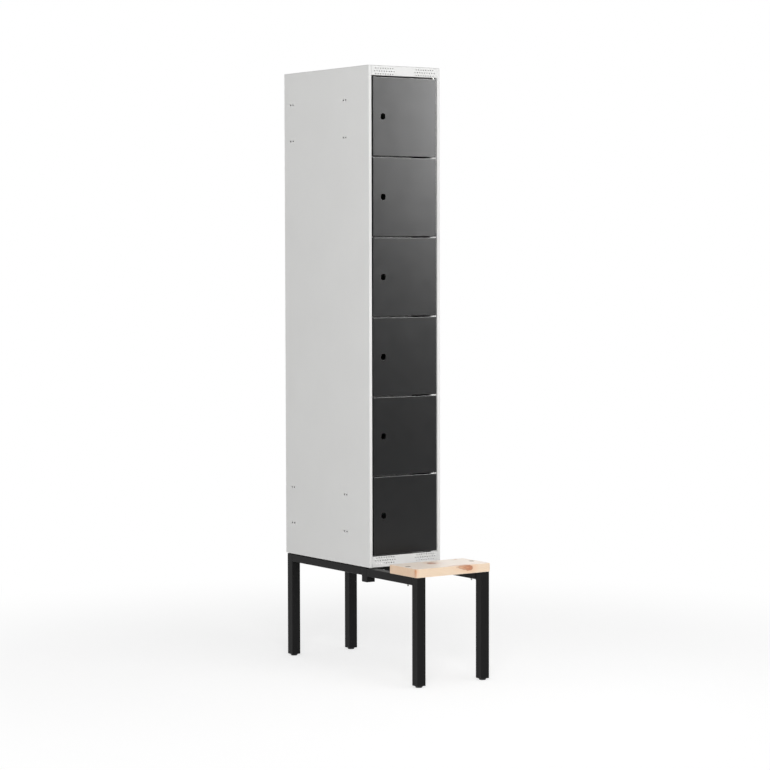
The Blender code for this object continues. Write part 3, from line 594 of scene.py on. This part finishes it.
def add_object(name, data):
    obj = bpy.data.objects.new(name, data)
    bpy.context.scene.collection.objects.link(obj)
    return obj


def object_from(name, bm):
    return add_object(name, mesh_from(name, bm))


def add_loft(bm, sections):
    """Closed outlines with the same count of points, joined one to the next and capped."""
    rings = [[bm.verts.new(point) for point in section] for section in sections]
    bm.faces.new(rings[0])
    bm.faces.new(reversed(rings[-1]))
    for low, high in zip(rings, rings[1:]):
        for k in range(len(low)):
            bm.faces.new((low[k - 1], low[k], high[k], high[k - 1]))


def add_prism(bm, outline, start, end, direction):
    """A closed outline carried straight from start to end."""
    add_loft(bm, [[direction(a, b, place) for a, b in outline] for place in (start, end)])


def prism_object(name, outline, start, end, direction):
    bm = bmesh.new()
    add_prism(bm, outline, start, end, direction)
    return object_from(name, bm)


def rectangle(a0, a1, b0, b1):
    return [(a0, b0), (a1, b0), (a1, b1), (a0, b1)]


def rounded_rectangle(width, height, radius, steps):
    outline = []
    for quarter, (sx, sy) in enumerate(((1, 1), (-1, 1), (-1, -1), (1, -1))):
        centre = Vector((sx * (width / 2 - radius), sy * (height / 2 - radius)))
        for k in range(steps + 1):
            angle = math.pi / 2 * (quarter + k / steps)
            outline.append(tuple(centre + radius * Vector((math.cos(angle), math.sin(angle)))))
    return outline


def bent_path(points):
    """The path's points with each corner bent to an arc, each with the unit normal on its left."""
    points = [Vector(point) for point in points]
    steps = []
    for i in range(len(points) - 1):
        ahead = (points[i + 1] - points[i]).normalized()
        left = Vector((-ahead.y, ahead.x))
        if i == 0:
            steps.append((points[0], left))
        if i == len(points) - 2:
            steps.append((points[-1], left))
            break
        after = (points[i + 2] - points[i + 1]).normalized()
        turn = math.atan2(ahead.x * after.y - ahead.y * after.x, ahead.dot(after))
        side = math.copysign(1, turn)
        start = points[i + 1] - ahead * BEND * math.tan(abs(turn) / 2)
        centre = start + side * BEND * left
        for k in range(BEND_STEPS + 1):
            normal = Matrix.Rotation(turn * k / BEND_STEPS, 2) @ left
            steps.append((centre - side * BEND * normal, normal))
    return steps


def folded_outline(points):
    """The section of a folded sheet, its two cut edges rounded as paint leaves them."""
    steps = bent_path(points)
    half = SHEET / 2
    one_face = [point + normal * half for point, normal in steps]
    other_face = [point - normal * half for point, normal in reversed(steps)]
    ends = []
    for (point, normal), ahead in ((steps[-1], 1), (steps[0], -1)):
        forward = Vector((normal.y, -normal.x)) * ahead
        arc = []
        for k in range(1, CUT_EDGE_STEPS):
            angle = math.pi * k / CUT_EDGE_STEPS
            across = ahead * normal * half * math.cos(angle)
            outward = forward * half * (math.sin(angle) - 1) * CUT_EDGE_ROUND
            arc.append(point + across + outward)
        ends.append(arc)
    return [tuple(point) for point in one_face + ends[0] + other_face + ends[1]]


def add_turned(bm, profile, sides=ROUND_SIDES, direction=along_z, centre=(0, 0)):
    """A round piece from (radius, height) points that start and end on its axis."""
    rings = []
    for radius, height in profile:
        count = sides if radius else 1
        ring = []
        for k in range(count):
            angle = 2 * math.pi * k / sides
            a = centre[0] + radius * math.cos(angle)
            b = centre[1] + radius * math.sin(angle)
            ring.append(bm.verts.new(direction(a, b, height)))
        rings.append(ring)
    for low, high in zip(rings, rings[1:]):
        for k in range(sides):
            if len(low) == 1:
                bm.faces.new((low[0], high[k], high[k - 1]))
            elif len(high) == 1:
                bm.faces.new((low[k - 1], low[k], high[0]))
            else:
                bm.faces.new((low[k - 1], low[k], high[k], high[k - 1]))


def punch_tool(name, centres, radius, face, inward, depth, direction, sides):
    """Cutters for punched holes: straight through, with the outer rim rounded over."""
    corner = radius / math.cos(math.pi / sides)
    rim = corner + PUNCH_ROUND
    outside = face - inward * CUT_PAST
    bottom = face + inward * depth
    profile = [(0, outside), (rim, outside), (rim, face)]
    profile.append((corner + PUNCH_ROUND * ROUND_MIDDLE, face + inward * PUNCH_ROUND * ROUND_MIDDLE))
    profile += [(corner, face + inward * PUNCH_ROUND), (corner, bottom), (0, bottom)]
    bm = bmesh.new()
    for centre in centres:
        add_turned(bm, profile, sides, direction, centre)
    return object_from(name, bm)


def cut(target, *tools):
    """The target's mesh with the tools cut out of it. The tools and the target object go."""
    for tool in tools:
        modifier = target.modifiers.new("Cut", "BOOLEAN")
        modifier.operation = "DIFFERENCE"
        modifier.solver = "EXACT"
        modifier.object = tool
    bpy.context.view_layer.update()
    graph = bpy.context.evaluated_depsgraph_get()
    mesh = bpy.data.meshes.new_from_object(target.evaluated_get(graph))
    mesh.name = target.name
    for helper in (target, *tools):
        bpy.data.objects.remove(helper, do_unlink=True)
    return mesh


def dress(name, mesh, slot, nodes, body="locker"):
    """Adds a finished piece, with true flats and smooth bends, that stands for the nodes named."""
    mesh.materials.append(FINISHES[slot])
    mesh.shade_smooth()
    mesh.set_sharp_from_angle(angle=math.radians(SHARP_ANGLE))
    obj = add_object(name, mesh)
    normals = obj.modifiers.new("Flat faces", "WEIGHTED_NORMAL")
    normals.keep_sharp = True
    normals.weight = 100
    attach(obj, body)
    if nodes:
        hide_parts(*nodes)


# Locker body


def side_panel(name, side):
    """Side wall, front stile, jamb and rear flange, folded from one sheet."""
    half = SHEET / 2
    wall = side * (HALF_WIDTH - half)
    jamb = side * (JAMB_INNER + half)
    path = [
        (side * (HALF_WIDTH - REAR_FLANGE), BACK - half),
        (wall, BACK - half),
        (wall, FRONT + half),
        (jamb, FRONT + half),
    ]
    if side < 0:
        path.append((jamb, FRONT + STOP_DEPTH + half))
        path.append((side * (JAMB_INNER - STOP_WIDTH), FRONT + STOP_DEPTH + half))
    else:
        path.append((jamb, FRONT + HINGE_JAMB))
    top = LOCKER_TOP - SHEET - GAP
    panel = prism_object(name, folded_outline(path), LOCKER_BOTTOM, top, along_z)
    levels = [LOCKER_BOTTOM + level for level in SIDE_HOLE_LEVELS]
    levels += [LOCKER_TOP - level for level in SIDE_HOLE_LEVELS]
    centres = [(FRONT + depth, level) for depth in SIDE_HOLE_DEPTHS for level in levels]
    face = side * HALF_WIDTH
    holes = punch_tool("holes", centres, SIDE_HOLE_RADIUS, face, -side, CUT_PAST, along_x, HOLE_SIDES)
    dress(f"side_wall_{name}", cut(panel, holes), "body_paint", [f"side_panel_{name}"])


def vent_tool(first_row):
    """Cutters for the two groups of small holes, their rows staggered below the first."""
    centres = []
    for row, count in enumerate(VENT_ROWS):
        for k in range(count):
            offset = (k - (count - 1) / 2) * VENT_PITCH
            level = first_row - row * VENT_ROW_PITCH
            centres += [(group + offset, level) for group in (-VENT_GROUP_X, VENT_GROUP_X)]
    return punch_tool("vents", centres, VENT_RADIUS, FRONT, 1, CUT_PAST, along_y, VENT_SIDES)


def rail_sheet(path):
    end = JAMB_INNER - GAP
    return prism_object("rail", folded_outline(path), -end, end, along_x)


def top_rail():
    """The upper rail, whose lower flange the first door's upper pin passes through."""
    half = SHEET / 2
    face = FRONT + half
    upper = LOCKER_TOP - SHEET - GAP - half
    lower = LOCKER_TOP - TOP_RAIL + half
    path = [(FRONT + RAIL_HEM, upper), (face, upper), (face, lower), (FRONT + STOP_DEPTH - GAP, lower)]
    rail = rail_sheet(path)
    hole = [(PIVOT_X, PIVOT_Y)]
    pin = round_tool("pin_hole", hole, PIN_RADIUS + PIN_FIT, lower - CUT_PAST, lower + CUT_PAST, along_z)
    vents = vent_tool(LOCKER_TOP - TOP_RAIL + VENT_MARGIN + 2 * VENT_ROW_PITCH)
    dress("vented_rail_top", cut(rail, pin, vents), "body_paint", ["top_front_rail"])


def bottom_rail():
    """The lower rail, whose upper flange turns up into the lip that the last door shuts against."""
    half = SHEET / 2
    face = FRONT + half
    lip = FRONT + LIP_DEPTH + half
    upper = LOCKER_BOTTOM + BOTTOM_RAIL - half
    lower = LOCKER_BOTTOM + half
    lip_end = gap_level(DOOR_COUNT) + LIP_HEIGHT / 2
    path = [(lip, lip_end), (lip, upper), (face, upper), (face, lower), (FRONT + RAIL_HEM, lower)]
    rail = rail_sheet(path)
    vents = vent_tool(LOCKER_BOTTOM + BOTTOM_RAIL - VENT_MARGIN)
    bm = bmesh.new()
    stop_edge = JAMB_INNER - STOP_WIDTH - GAP
    behind = FRONT + LIP_DEPTH + SHEET + CUT_PAST
    low, high = upper - CUT_PAST, lip_end + CUT_PAST
    add_prism(bm, rectangle(-HALF_WIDTH, -stop_edge, FRONT + STOP_DEPTH - GAP, behind), low, high, along_z)
    add_prism(bm, rectangle(LIP_END, HALF_WIDTH, FRONT + LIP_DEPTH - half, behind), low, high, along_z)
    notches = object_from("notches", bm)
    dress("vented_rail_bottom", cut(rail, vents, notches), "body_paint", ["bottom_front_rail"])


# Doors


def lock_outline(centre_x, grow):
    """A round hole with two upright flats."""
    radius = LOCK_RADIUS + grow
    flat = math.acos((LOCK_WIDTH / 2 + grow) / radius)
    outline = []
    for start in (flat, math.pi + flat):
        for k in range(LOCK_ARC_STEPS + 1):
            angle = start + (math.pi - 2 * flat) * k / LOCK_ARC_STEPS
            outline.append((centre_x + radius * math.cos(angle), radius * math.sin(angle)))
    return outline


def box_tool(name, low, high):
    return prism_object(name, rectangle(low[0], high[0], low[1], high[1]), low[2], high[2], along_z)


def door_mesh():
    """A door folded into a pan with a return along its edges, round its pivot axis."""
    left = PIVOT_INSET - DOOR_WIDTH
    face = -DOOR_DEPTH / 2
    half_height = DOOR_HEIGHT / 2
    bm = bmesh.new()
    add_prism(bm, rectangle(left, PIVOT_INSET, face, -face), -half_height, half_height, along_z)
    rear = max(bm.faces, key=lambda side: side.calc_center_median().y)
    folds = [edge for edge in bm.edges if rear not in edge.link_faces]
    bmesh.ops.bevel(bm, geom=folds, offset=DOOR_EDGE, segments=CORNER_STEPS, profile=0.5, affect="EDGES")
    door = object_from("door", bm)
    hollow = box_tool(
        "hollow",
        (left + SHEET, face + SHEET, SHEET - half_height),
        (PIVOT_INSET - SHEET, -face - SHEET, half_height - SHEET),
    )
    window = box_tool(
        "window",
        (left + DOOR_RETURN, 0, DOOR_RETURN - half_height),
        (PIVOT_INSET - DOOR_RETURN, CUT_PAST - face, half_height - DOOR_RETURN),
    )
    bm = bmesh.new()
    sections = []
    rim = PUNCH_ROUND
    middle = rim * ROUND_MIDDLE
    for grow, depth in ((rim, -CUT_PAST), (rim, 0), (middle, middle), (0, rim), (0, CUT_PAST)):
        sections.append([(a, face + depth, b) for a, b in lock_outline(left + LOCK_INSET, grow)])
    add_loft(bm, sections)
    lock = object_from("lock_hole", bm)
    bm = bmesh.new()
    radius = PIN_RADIUS + PIN_FIT
    for level in (-half_height, half_height):
        ends = (level - CUT_PAST, level + CUT_PAST)
        add_turned(bm, [(0, ends[0]), (radius, ends[0]), (radius, ends[1]), (0, ends[1])], HOLE_SIDES)
    pins = object_from("pin_holes", bm)
    return cut(door, hollow, window, lock, pins)


def doors():
    shape = door_mesh()
    for number in range(DOOR_COUNT):
        mesh = shape.copy()
        level = gap_level(number) - DOOR_PITCH / 2
        mesh.transform(Matrix.Translation((PIVOT_X, PIVOT_Y, level)))
        node = f"door_{number + 1}"
        dress(f"door_pan_{number + 1}", mesh, "door_paint", [node], node)


# Stand and bench frame


def tube(name, node, height, run, direction, centre, cutters=()):
    """A rectangular tube of the stand, open at both ends."""
    bm = bmesh.new()
    outer = rounded_rectangle(TUBE, height, TUBE_ROUND, CORNER_STEPS)
    hollow = (TUBE - 2 * TUBE_WALL, height - 2 * TUBE_WALL)
    inner = rounded_rectangle(*hollow, TUBE_ROUND_INSIDE, CORNER_STEPS)
    start, end = run
    rings = []
    for outline, level in ((outer, start), (outer, end), (inner, end), (inner, start)):
        rings.append([bm.verts.new(direction(a + centre[0], b + centre[1], level)) for a, b in outline])
    for here, there in zip(rings, rings[1:] + rings[:1]):
        for k in range(len(outer)):
            bm.faces.new((here[k - 1], here[k], there[k], there[k - 1]))
    mesh = mesh_from(name, bm)
    if cutters:
        mesh = cut(add_object(name, mesh), *cutters)
    dress(name, mesh, "stand_paint", [node])


def round_tool(name, centres, radius, start, end, direction):
    bm = bmesh.new()
    for centre in centres:
        add_turned(bm, [(0, start), (radius, start), (radius, end), (0, end)], HOLE_SIDES, direction, centre)
    return object_from(name, bm)


def frame_tubes():
    bolt_hole = BOLT_RADIUS + BOLT_CLEARANCE
    seat_hole = SEAT_BOLT_RADIUS + BOLT_CLEARANCE
    level = STAND_TOP - RAIL_HEIGHT / 2
    stub_y = FRONT + STUB_FRONT + TUBE / 2
    bench_run = (BENCH_FRONT + TUBE + GAP, FRONT + STUB_FRONT - GAP)
    base_run = (FRONT + STUB_FRONT + TUBE + GAP, STAND_BACK - TUBE - GAP)
    leg_run = (GLIDE_HEIGHT + GAP, STAND_TOP)
    stub_run = (RAIL_BOTTOM - STUB_DROP, STAND_TOP)
    both_walls = (RAIL_BOTTOM - CUT_PAST, STAND_TOP + CUT_PAST)
    upper_wall = (STAND_TOP - TUBE_WALL - CUT_PAST, STAND_TOP + CUT_PAST)
    for name, side in SIDES:
        seat_bolt = [round_tool("holes", [(side * SEAT_BOLT_X, SEAT_Y)], seat_hole, *both_walls, along_z)]
        centres = [(side * LOCKER_BOLT_X, FRONT + depth) for depth in LOCKER_BOLT_DEPTHS]
        locker_bolts = [round_tool("holes", centres, bolt_hole, *upper_wall, along_z)]
        for piece, node, height, run, direction, centre, cutters in (
            ("bench_tube", "bench_rail", RAIL_HEIGHT, bench_run, along_y, (side * BENCH_X, level), seat_bolt),
            ("front_leg_tube", "bench_leg", TUBE, leg_run, along_z, (side * BENCH_X, FRONT_LEG_Y), ()),
            ("stub_tube", "stub_post", TUBE, stub_run, along_z, (side * BENCH_X, stub_y), ()),
            ("stand_tube", "base_rail", RAIL_HEIGHT, base_run, along_y, (side * BASE_X, level), locker_bolts),
            ("rear_leg_tube", "rear_leg", TUBE, leg_run, along_z, (side * BASE_X, REAR_LEG_Y), ()),
        ):
            tube(f"{piece}_{name}", f"{node}_{name}", height, run, direction, centre, cutters)
    centres = [(-FRAME_BOLT_X, level), (FRAME_BOLT_X, level)]
    for piece, node, y, half, bolted in (
        ("bench_cross_tube", "bench_cross", stub_y, BENCH_X - TUBE / 2 - GAP, True),
        ("stand_cross_tube_front", "base_cross_front", base_run[0] + TUBE / 2, BASE_X - TUBE / 2 - GAP, True),
        ("stand_cross_tube_rear", "base_cross_rear", REAR_LEG_Y, BASE_X - TUBE / 2 - GAP, False),
    ):
        cutters = []
        if bolted:
            cutters.append(round_tool("holes", centres, bolt_hole, y - TUBE, y + TUBE, along_y))
        tube(piece, node, RAIL_HEIGHT, (-half, half), along_x, (y, level), cutters)


def add_bead(bm, start, end):
    """A weld bead from start to end: a row of ripples that thins out at both ends."""
    start, end = Vector(start), Vector(end)
    run = end - start
    ahead = run.normalized()
    side = ahead.orthogonal().normalized()
    other = ahead.cross(side)
    count = round(run.length / BEAD_RIPPLE * BEAD_RINGS)
    angles = [2 * math.pi * j / BEAD_SIDES for j in range(BEAD_SIDES)]
    sections = []
    for k in range(count + 1):
        share = k / count
        taper = min(1.0, BEAD_END_SHARE + BEAD_GROWTH * min(share, 1 - share))
        phase = 2 * math.pi * share * run.length / BEAD_RIPPLE / BEAD_SWELL_LENGTH
        radius = BEAD_RADIUS * taper * (1 + BEAD_SWELL * math.cos(phase))
        centre = start + run * share
        sections.append([centre + radius * (side * math.cos(a) + other * math.sin(a)) for a in angles])
    add_loft(bm, sections)


def weld_beads():
    """Fillets where a rail's underside and inner side meet the posts and the cross tubes."""
    low = RAIL_BOTTOM
    high = STAND_TOP - BEAD_END_INSET
    stub_front = FRONT + STUB_FRONT
    stub_back = stub_front + TUBE
    bm = bmesh.new()
    for side in (-1, 1):
        outer = side * (BENCH_HALF - BEAD_INSET)
        inner = side * (BENCH_HALF - TUBE)
        for y in (BENCH_FRONT + TUBE, stub_front):
            add_bead(bm, (outer, y, low), (inner, y, low))
            add_bead(bm, (inner, y, low), (inner, y, high))
        for y in (stub_front, stub_back):
            add_bead(bm, (inner, y, low), (inner, y, high))
        add_bead(bm, (inner, stub_front + BEAD_INSET, low), (inner, stub_back - BEAD_INSET, low))
    dress("weld_beads_bench", mesh_from("beads", bm), "stand_paint", [])
    leg_front = STAND_BACK - TUBE
    cross_front = stub_back + GAP
    cross_back = cross_front + TUBE
    bm = bmesh.new()
    for side in (-1, 1):
        outer = side * (BASE_HALF - BEAD_INSET)
        inner = side * (BASE_HALF - TUBE)
        add_bead(bm, (outer, leg_front, low), (inner, leg_front, low))
        add_bead(bm, (inner, leg_front + BEAD_END_INSET, low), (inner, STAND_BACK - BEAD_INSET, low))
        for y in (leg_front, STAND_BACK - BEAD_BACK_INSET):
            add_bead(bm, (inner, y, low), (inner, y, high))
        add_bead(bm, (inner, cross_front + BEAD_INSET, low), (inner, cross_back, low))
        add_bead(bm, (inner, cross_back, low), (inner, cross_back, high))
    dress("weld_beads_stand", mesh_from("beads", bm), "stand_paint", [])


def glides():
    """Round feet, each with a waist, a rim and a ribbed plug that is pressed into the leg."""
    size = TUBE - 2 * TUBE_WALL - 2 * GAP
    plug_low = GLIDE_HEIGHT + RIB_START
    for side_name, side in SIDES:
        for end_name, x, y in (("rear", side * BASE_X, REAR_LEG_Y), ("front", side * BENCH_X, FRONT_LEG_Y)):
            bm = bmesh.new()
            add_turned(bm, GLIDE_PROFILE, ROUND_SIDES, along_z, (x, y))
            sections = []
            for k in range(2 * PLUG_RIBS + 1):
                inset = 0.0 if k % 2 else RIB_DEPTH
                level = plug_low + GLIDE_PLUG * k / (2 * PLUG_RIBS)
                outline = rounded_rectangle(size - inset, size - inset, TUBE_ROUND, PLUG_CORNER_STEPS)
                sections.append([(x + a, y + b, level) for a, b in outline])
            add_loft(bm, sections)
            node = f"glide_{end_name}_{side_name}"
            dress(f"foot_{end_name}_{side_name}", mesh_from(node, bm), "black_plastic", [node])


# Seat board and its bolts


def seat_board():
    """One solid board with eased edges and two counterbored bolt holes."""
    low = STAND_TOP + GAP
    outline = rounded_rectangle(SEAT_WIDTH, SEAT_DEPTH, SEAT_CORNER, CORNER_STEPS)
    outline = [(a, b + SEAT_Y) for a, b in outline]
    bm = bmesh.new()
    add_prism(bm, outline, low, SEAT_TOP, along_z)
    rims = [edge for edge in bm.edges if abs(edge.verts[0].co.z - edge.verts[1].co.z) < SEAT_EDGE]
    bmesh.ops.bevel(bm, geom=rims, offset=SEAT_EDGE, segments=BOARD_EDGE_STEPS, profile=0.5, affect="EDGES")
    board = object_from("seat_board", bm)
    centres = [(-SEAT_BOLT_X, SEAT_Y), (SEAT_BOLT_X, SEAT_Y)]
    hole = SEAT_BOLT_RADIUS + BOLT_CLEARANCE
    through = round_tool("through", centres, hole, low - CUT_PAST, SEAT_TOP + CUT_PAST, along_z)
    size = (SEAT_RECESS_RADIUS, SEAT_TOP, -1, SEAT_RECESS_DEPTH)
    recess = punch_tool("recess", centres, *size, along_z, ROUND_SIDES)
    dress("seat_board", cut(board, through, recess), "pine", ["seat_plank"])


def seat_bolts():
    """Round-headed bolts with a hexagon socket, threaded where they come out under the rail."""
    head_low = SEAT_TOP - SEAT_RECESS_DEPTH + GAP
    shank = SEAT_BOLT_RADIUS
    low = RAIL_BOTTOM - SEAT_BOLT_END
    thread_top = RAIL_BOTTOM + THREAD_HIDDEN
    profile = [(0, low), (shank - THREAD_TIP, low)]
    for k in range(int((thread_top - low) / THREAD_PITCH)):
        level = low + THREAD_START + k * THREAD_PITCH
        profile.append((shank - THREAD_DEPTH, level))
        profile.append((shank, level + THREAD_PITCH * 0.5))
    profile += [(shank, thread_top + THREAD_PITCH), (shank, head_low)]
    profile += [(HEAD_RADIUS - HEAD_ROUND, head_low), (HEAD_RADIUS, head_low + HEAD_ROUND)]
    profile.append((HEAD_RADIUS, head_low + HEAD_SIDE))
    crown = HEAD_HEIGHT - HEAD_RIM
    for k in range(1, CROWN_STEPS):
        angle = math.pi / 2 * k / CROWN_STEPS
        radius = HEAD_RADIUS * math.cos(angle)
        if radius < CROWN_FLAT:
            break
        profile.append((radius, head_low + HEAD_RIM + crown * math.sin(angle)))
    top = profile[-1][1]
    profile.append((0, top))
    corner = SOCKET_RADIUS / math.cos(math.pi / 6)
    for name, side in SIDES:
        x = side * SEAT_BOLT_X
        bm = bmesh.new()
        add_turned(bm, profile, BOLT_SIDES, along_z, (x, SEAT_Y))
        bolt = object_from("bolt", bm)
        bm = bmesh.new()
        outline = []
        for k in range(6):
            angle = math.pi / 3 * k
            outline.append((x + corner * math.cos(angle), SEAT_Y + corner * math.sin(angle)))
        add_prism(bm, outline, top - SOCKET_DEPTH, top + CUT_PAST, along_z)
        socket = object_from("socket", bm)
        dress(f"button_bolt_{name}", cut(bolt, socket), "zinc_steel", [f"seat_bolt_{name}"])


def dress_cad_nodes():
    """Gives the CAD nodes their finish, and rounds the cut edges of those that show."""
    slots = {part["node"]: part["material_slot"] for part in frame["record"]["subparts"]}
    for name, obj in frame["nodes"].items():
        obj.data.materials.clear()
        obj.data.materials.append(FINISHES[slots[name]])
        if obj.hide_render:
            continue
        weld = obj.modifiers.new("Join split edges", "WELD")
        weld.merge_threshold = SPLIT_EDGE
        rounding = obj.modifiers.new("Eased edges", "BEVEL")
        rounding.width = EASED_EDGE
        rounding.segments = 2
        rounding.limit_method = "ANGLE"
        rounding.angle_limit = math.radians(SHARP_ANGLE)
        obj.data.shade_smooth()
        normals = obj.modifiers.new("Flat faces", "WEIGHTED_NORMAL")
        normals.weight = 100


# Room, lamps and camera


def camera():
    yaw, pitch, roll = (math.radians(angle) for angle in CAMERA_TURN)
    forward = Vector((math.sin(yaw) * math.cos(pitch), math.cos(yaw) * math.cos(pitch), -math.sin(pitch)))
    level = Vector((math.cos(yaw), -math.sin(yaw), 0))
    down = forward.cross(level)
    right = level * math.cos(roll) + down * math.sin(roll)
    up = level * math.sin(roll) - down * math.cos(roll)
    data = bpy.data.cameras.new("camera")
    data.lens = CAMERA_LENS
    data.sensor_width = CAMERA_SENSOR
    data.clip_end = CAMERA_SIGHT
    obj = add_object("camera", data)
    axes = Matrix((right, up, -forward)).transposed()
    obj.matrix_world = Matrix.Translation(CAMERA_PLACE) @ axes.to_4x4()
    bpy.context.scene.camera = obj


def seen_rays(nodes, links):
    """1 for camera, glossy and transmission rays, which see the white background."""
    path = nodes.new("ShaderNodeLightPath")
    total = path.outputs["Is Camera Ray"]
    for name in ("Is Glossy Ray", "Is Transmission Ray"):
        either = nodes.new("ShaderNodeMath")
        either.operation = "MAXIMUM"
        links.new(total, either.inputs[0])
        links.new(path.outputs[name], either.inputs[1])
        total = either.outputs[0]
    return total


def mixed_shader(nodes, links, factor, first, second):
    """The first shader where the factor is 0, the second where it is 1."""
    mix = nodes.new("ShaderNodeMixShader")
    for socket, source in zip(mix.inputs, (factor, first, second)):
        links.new(source, socket)
    return mix.outputs[0]


def world(ambient):
    """A white background that lights the object at the ambient strength."""
    scene_world = bpy.data.worlds.new("studio")
    bpy.context.scene.world = scene_world
    scene_world.use_nodes = True
    nodes = scene_world.node_tree.nodes
    links = scene_world.node_tree.links
    lit = nodes["Background"]
    white = nodes.new("ShaderNodeBackground")
    for background, strength in ((lit, ambient), (white, 1.0)):
        background.inputs["Color"].default_value = (1.0, 1.0, 1.0, 1.0)
        background.inputs["Strength"].default_value = strength
    surface = mixed_shader(nodes, links, seen_rays(nodes, links), lit.outputs[0], white.outputs[0])
    links.new(surface, nodes["World Output"].inputs["Surface"])


def floor(reach, shade, glow, near, far):
    """A pale floor that keeps the object's shadow near it and fades into the white background.

    The camera and the gloss see it darkened to the share shade, with a glow added, and from near
    to far it turns white. All other light meets the plain floor.
    """
    bm = bmesh.new()
    bmesh.ops.create_grid(bm, x_segments=8, y_segments=8, size=reach)
    obj = object_from("floor", bm)
    tree = Tree("pale_floor")
    tree.nodes.remove(tree.shader)
    seen = seen_rays(tree.nodes, tree.links)
    away = tree.vectors("LENGTH", tree.place, output="Value")
    fade = tree.ranged(away, near, far, smooth=True)
    tone = tree.mixed(tree.noise(3.0, 3.0), (0.80, 0.80, 0.80), (0.84, 0.84, 0.84))
    matt = tree.node("ShaderNodeBsdfDiffuse", Color=tone)
    dim_tone = tree.mixed(1.0, tone, (shade, shade, shade), "MULTIPLY")
    dim = tree.node("ShaderNodeBsdfDiffuse", Color=dim_tone)
    glowing = tree.node("ShaderNodeEmission", Strength=glow)
    both = tree.nodes.new("ShaderNodeAddShader")
    tree.links.new(dim.outputs[0], both.inputs[0])
    tree.links.new(glowing.outputs[0], both.inputs[1])
    white = tree.node("ShaderNodeEmission", Strength=1.0)
    shown = mixed_shader(tree.nodes, tree.links, fade, both.outputs[0], white.outputs[0])
    surface = mixed_shader(tree.nodes, tree.links, seen, matt.outputs[0], shown)
    tree.links.new(surface, tree.nodes["Material Output"].inputs["Surface"])
    obj.data.materials.append(tree.material)


def turned_to(place, aim):
    """The rotation that turns an object at a place to face the aim."""
    return (Vector(aim) - Vector(place)).to_track_quat("-Z", "Y").to_euler()


# Each lamp: its name, its place, what it faces, its width, height and power, and whether its light
# shows everywhere, only in gloss or only on matt surfaces
LAMPS = (
    ("top", (0.1, -0.62, 4.2), (0.1, -0.5, 0.0), 1.2, 1.2, 14.0, "all"),
    ("side_fill", (-6.5, 0.6, 2.3), (0.0, 0.0, 1.0), 3.0, 3.0, 20.0, "all"),
    ("front_fill", (-4.0, -6.0, 3.8), (0.0, 0.0, 0.7), 3.0, 3.0, 320.0, "all"),
    ("bench_fill", (0.25, -1.0, 1.5), (0.25, -0.98, 0.0), 0.8, 0.8, 4.1, "matt"),
    ("door_card", (2.85, -2.636, 2.336), (-0.072, 0.0, 0.844), 0.49, 1.332, 148.0, "gloss"),
    ("edge_card", (1.7, -1.85, 3.6), (0.0, -0.1, 1.2), 1.2, 1.2, 150.0, "gloss"),
    ("left_card", (-3.3, -2.4, 1.7), (0.0, 0.0, 1.2), 0.6, 2.2, 45.0, "gloss"),
    ("low_door_card", (3.1, -2.6, 1.2), (0.0, 0.0, 1.1), 0.5, 1.2, 16.0, "gloss"),
)


def lamps():
    """Soft lamps and bright cards that the camera doesn't see."""
    for name, place, aim, width, height, power, shows in LAMPS:
        data = bpy.data.lights.new(name, "AREA")
        data.shape = "RECTANGLE"
        data.size = width
        data.size_y = height
        data.energy = power
        obj = add_object(name, data)
        obj.location = place
        obj.rotation_euler = turned_to(place, aim)
        obj.visible_camera = False
        obj.visible_diffuse = shows != "gloss"
        obj.visible_glossy = shows != "matt"


def dark_screen(place, aim, width, height):
    """A dark studio screen that only reflections see, in front of the doors."""
    bm = bmesh.new()
    bmesh.ops.create_grid(bm, x_segments=1, y_segments=1, size=0.5)
    bmesh.ops.scale(bm, vec=(width, height, 1.0), verts=bm.verts)
    obj = object_from("dark_screen", bm)
    obj.location = place
    obj.rotation_euler = turned_to(place, aim)
    obj.visible_camera = False
    obj.visible_diffuse = False
    obj.visible_shadow = False
    tree = Tree("screen_cloth")
    tone = tree.mixed(tree.noise(4.0), (0.05, 0.05, 0.05), (0.06, 0.06, 0.06))
    obj.data.materials.append(tree.finish(Base_Color=tone, Roughness=0.9))


def main():
    bpy.context.scene.view_settings.view_transform = "Standard"
    camera()
    world(ambient=0.42)
    floor(reach=14.0, shade=0.45, glow=0.66, near=0.8, far=2.6)
    lamps()
    dark_screen((2.2, -3.4, 0.7), aim=(0.0, -0.1, 1.2), width=5.0, height=2.4)
    for name, side in SIDES:
        side_panel(name, side)
    top_rail()
    bottom_rail()
    doors()
    frame_tubes()
    weld_beads()
    glides()
    seat_board()
    seat_bolts()
    dress_cad_nodes()


main()
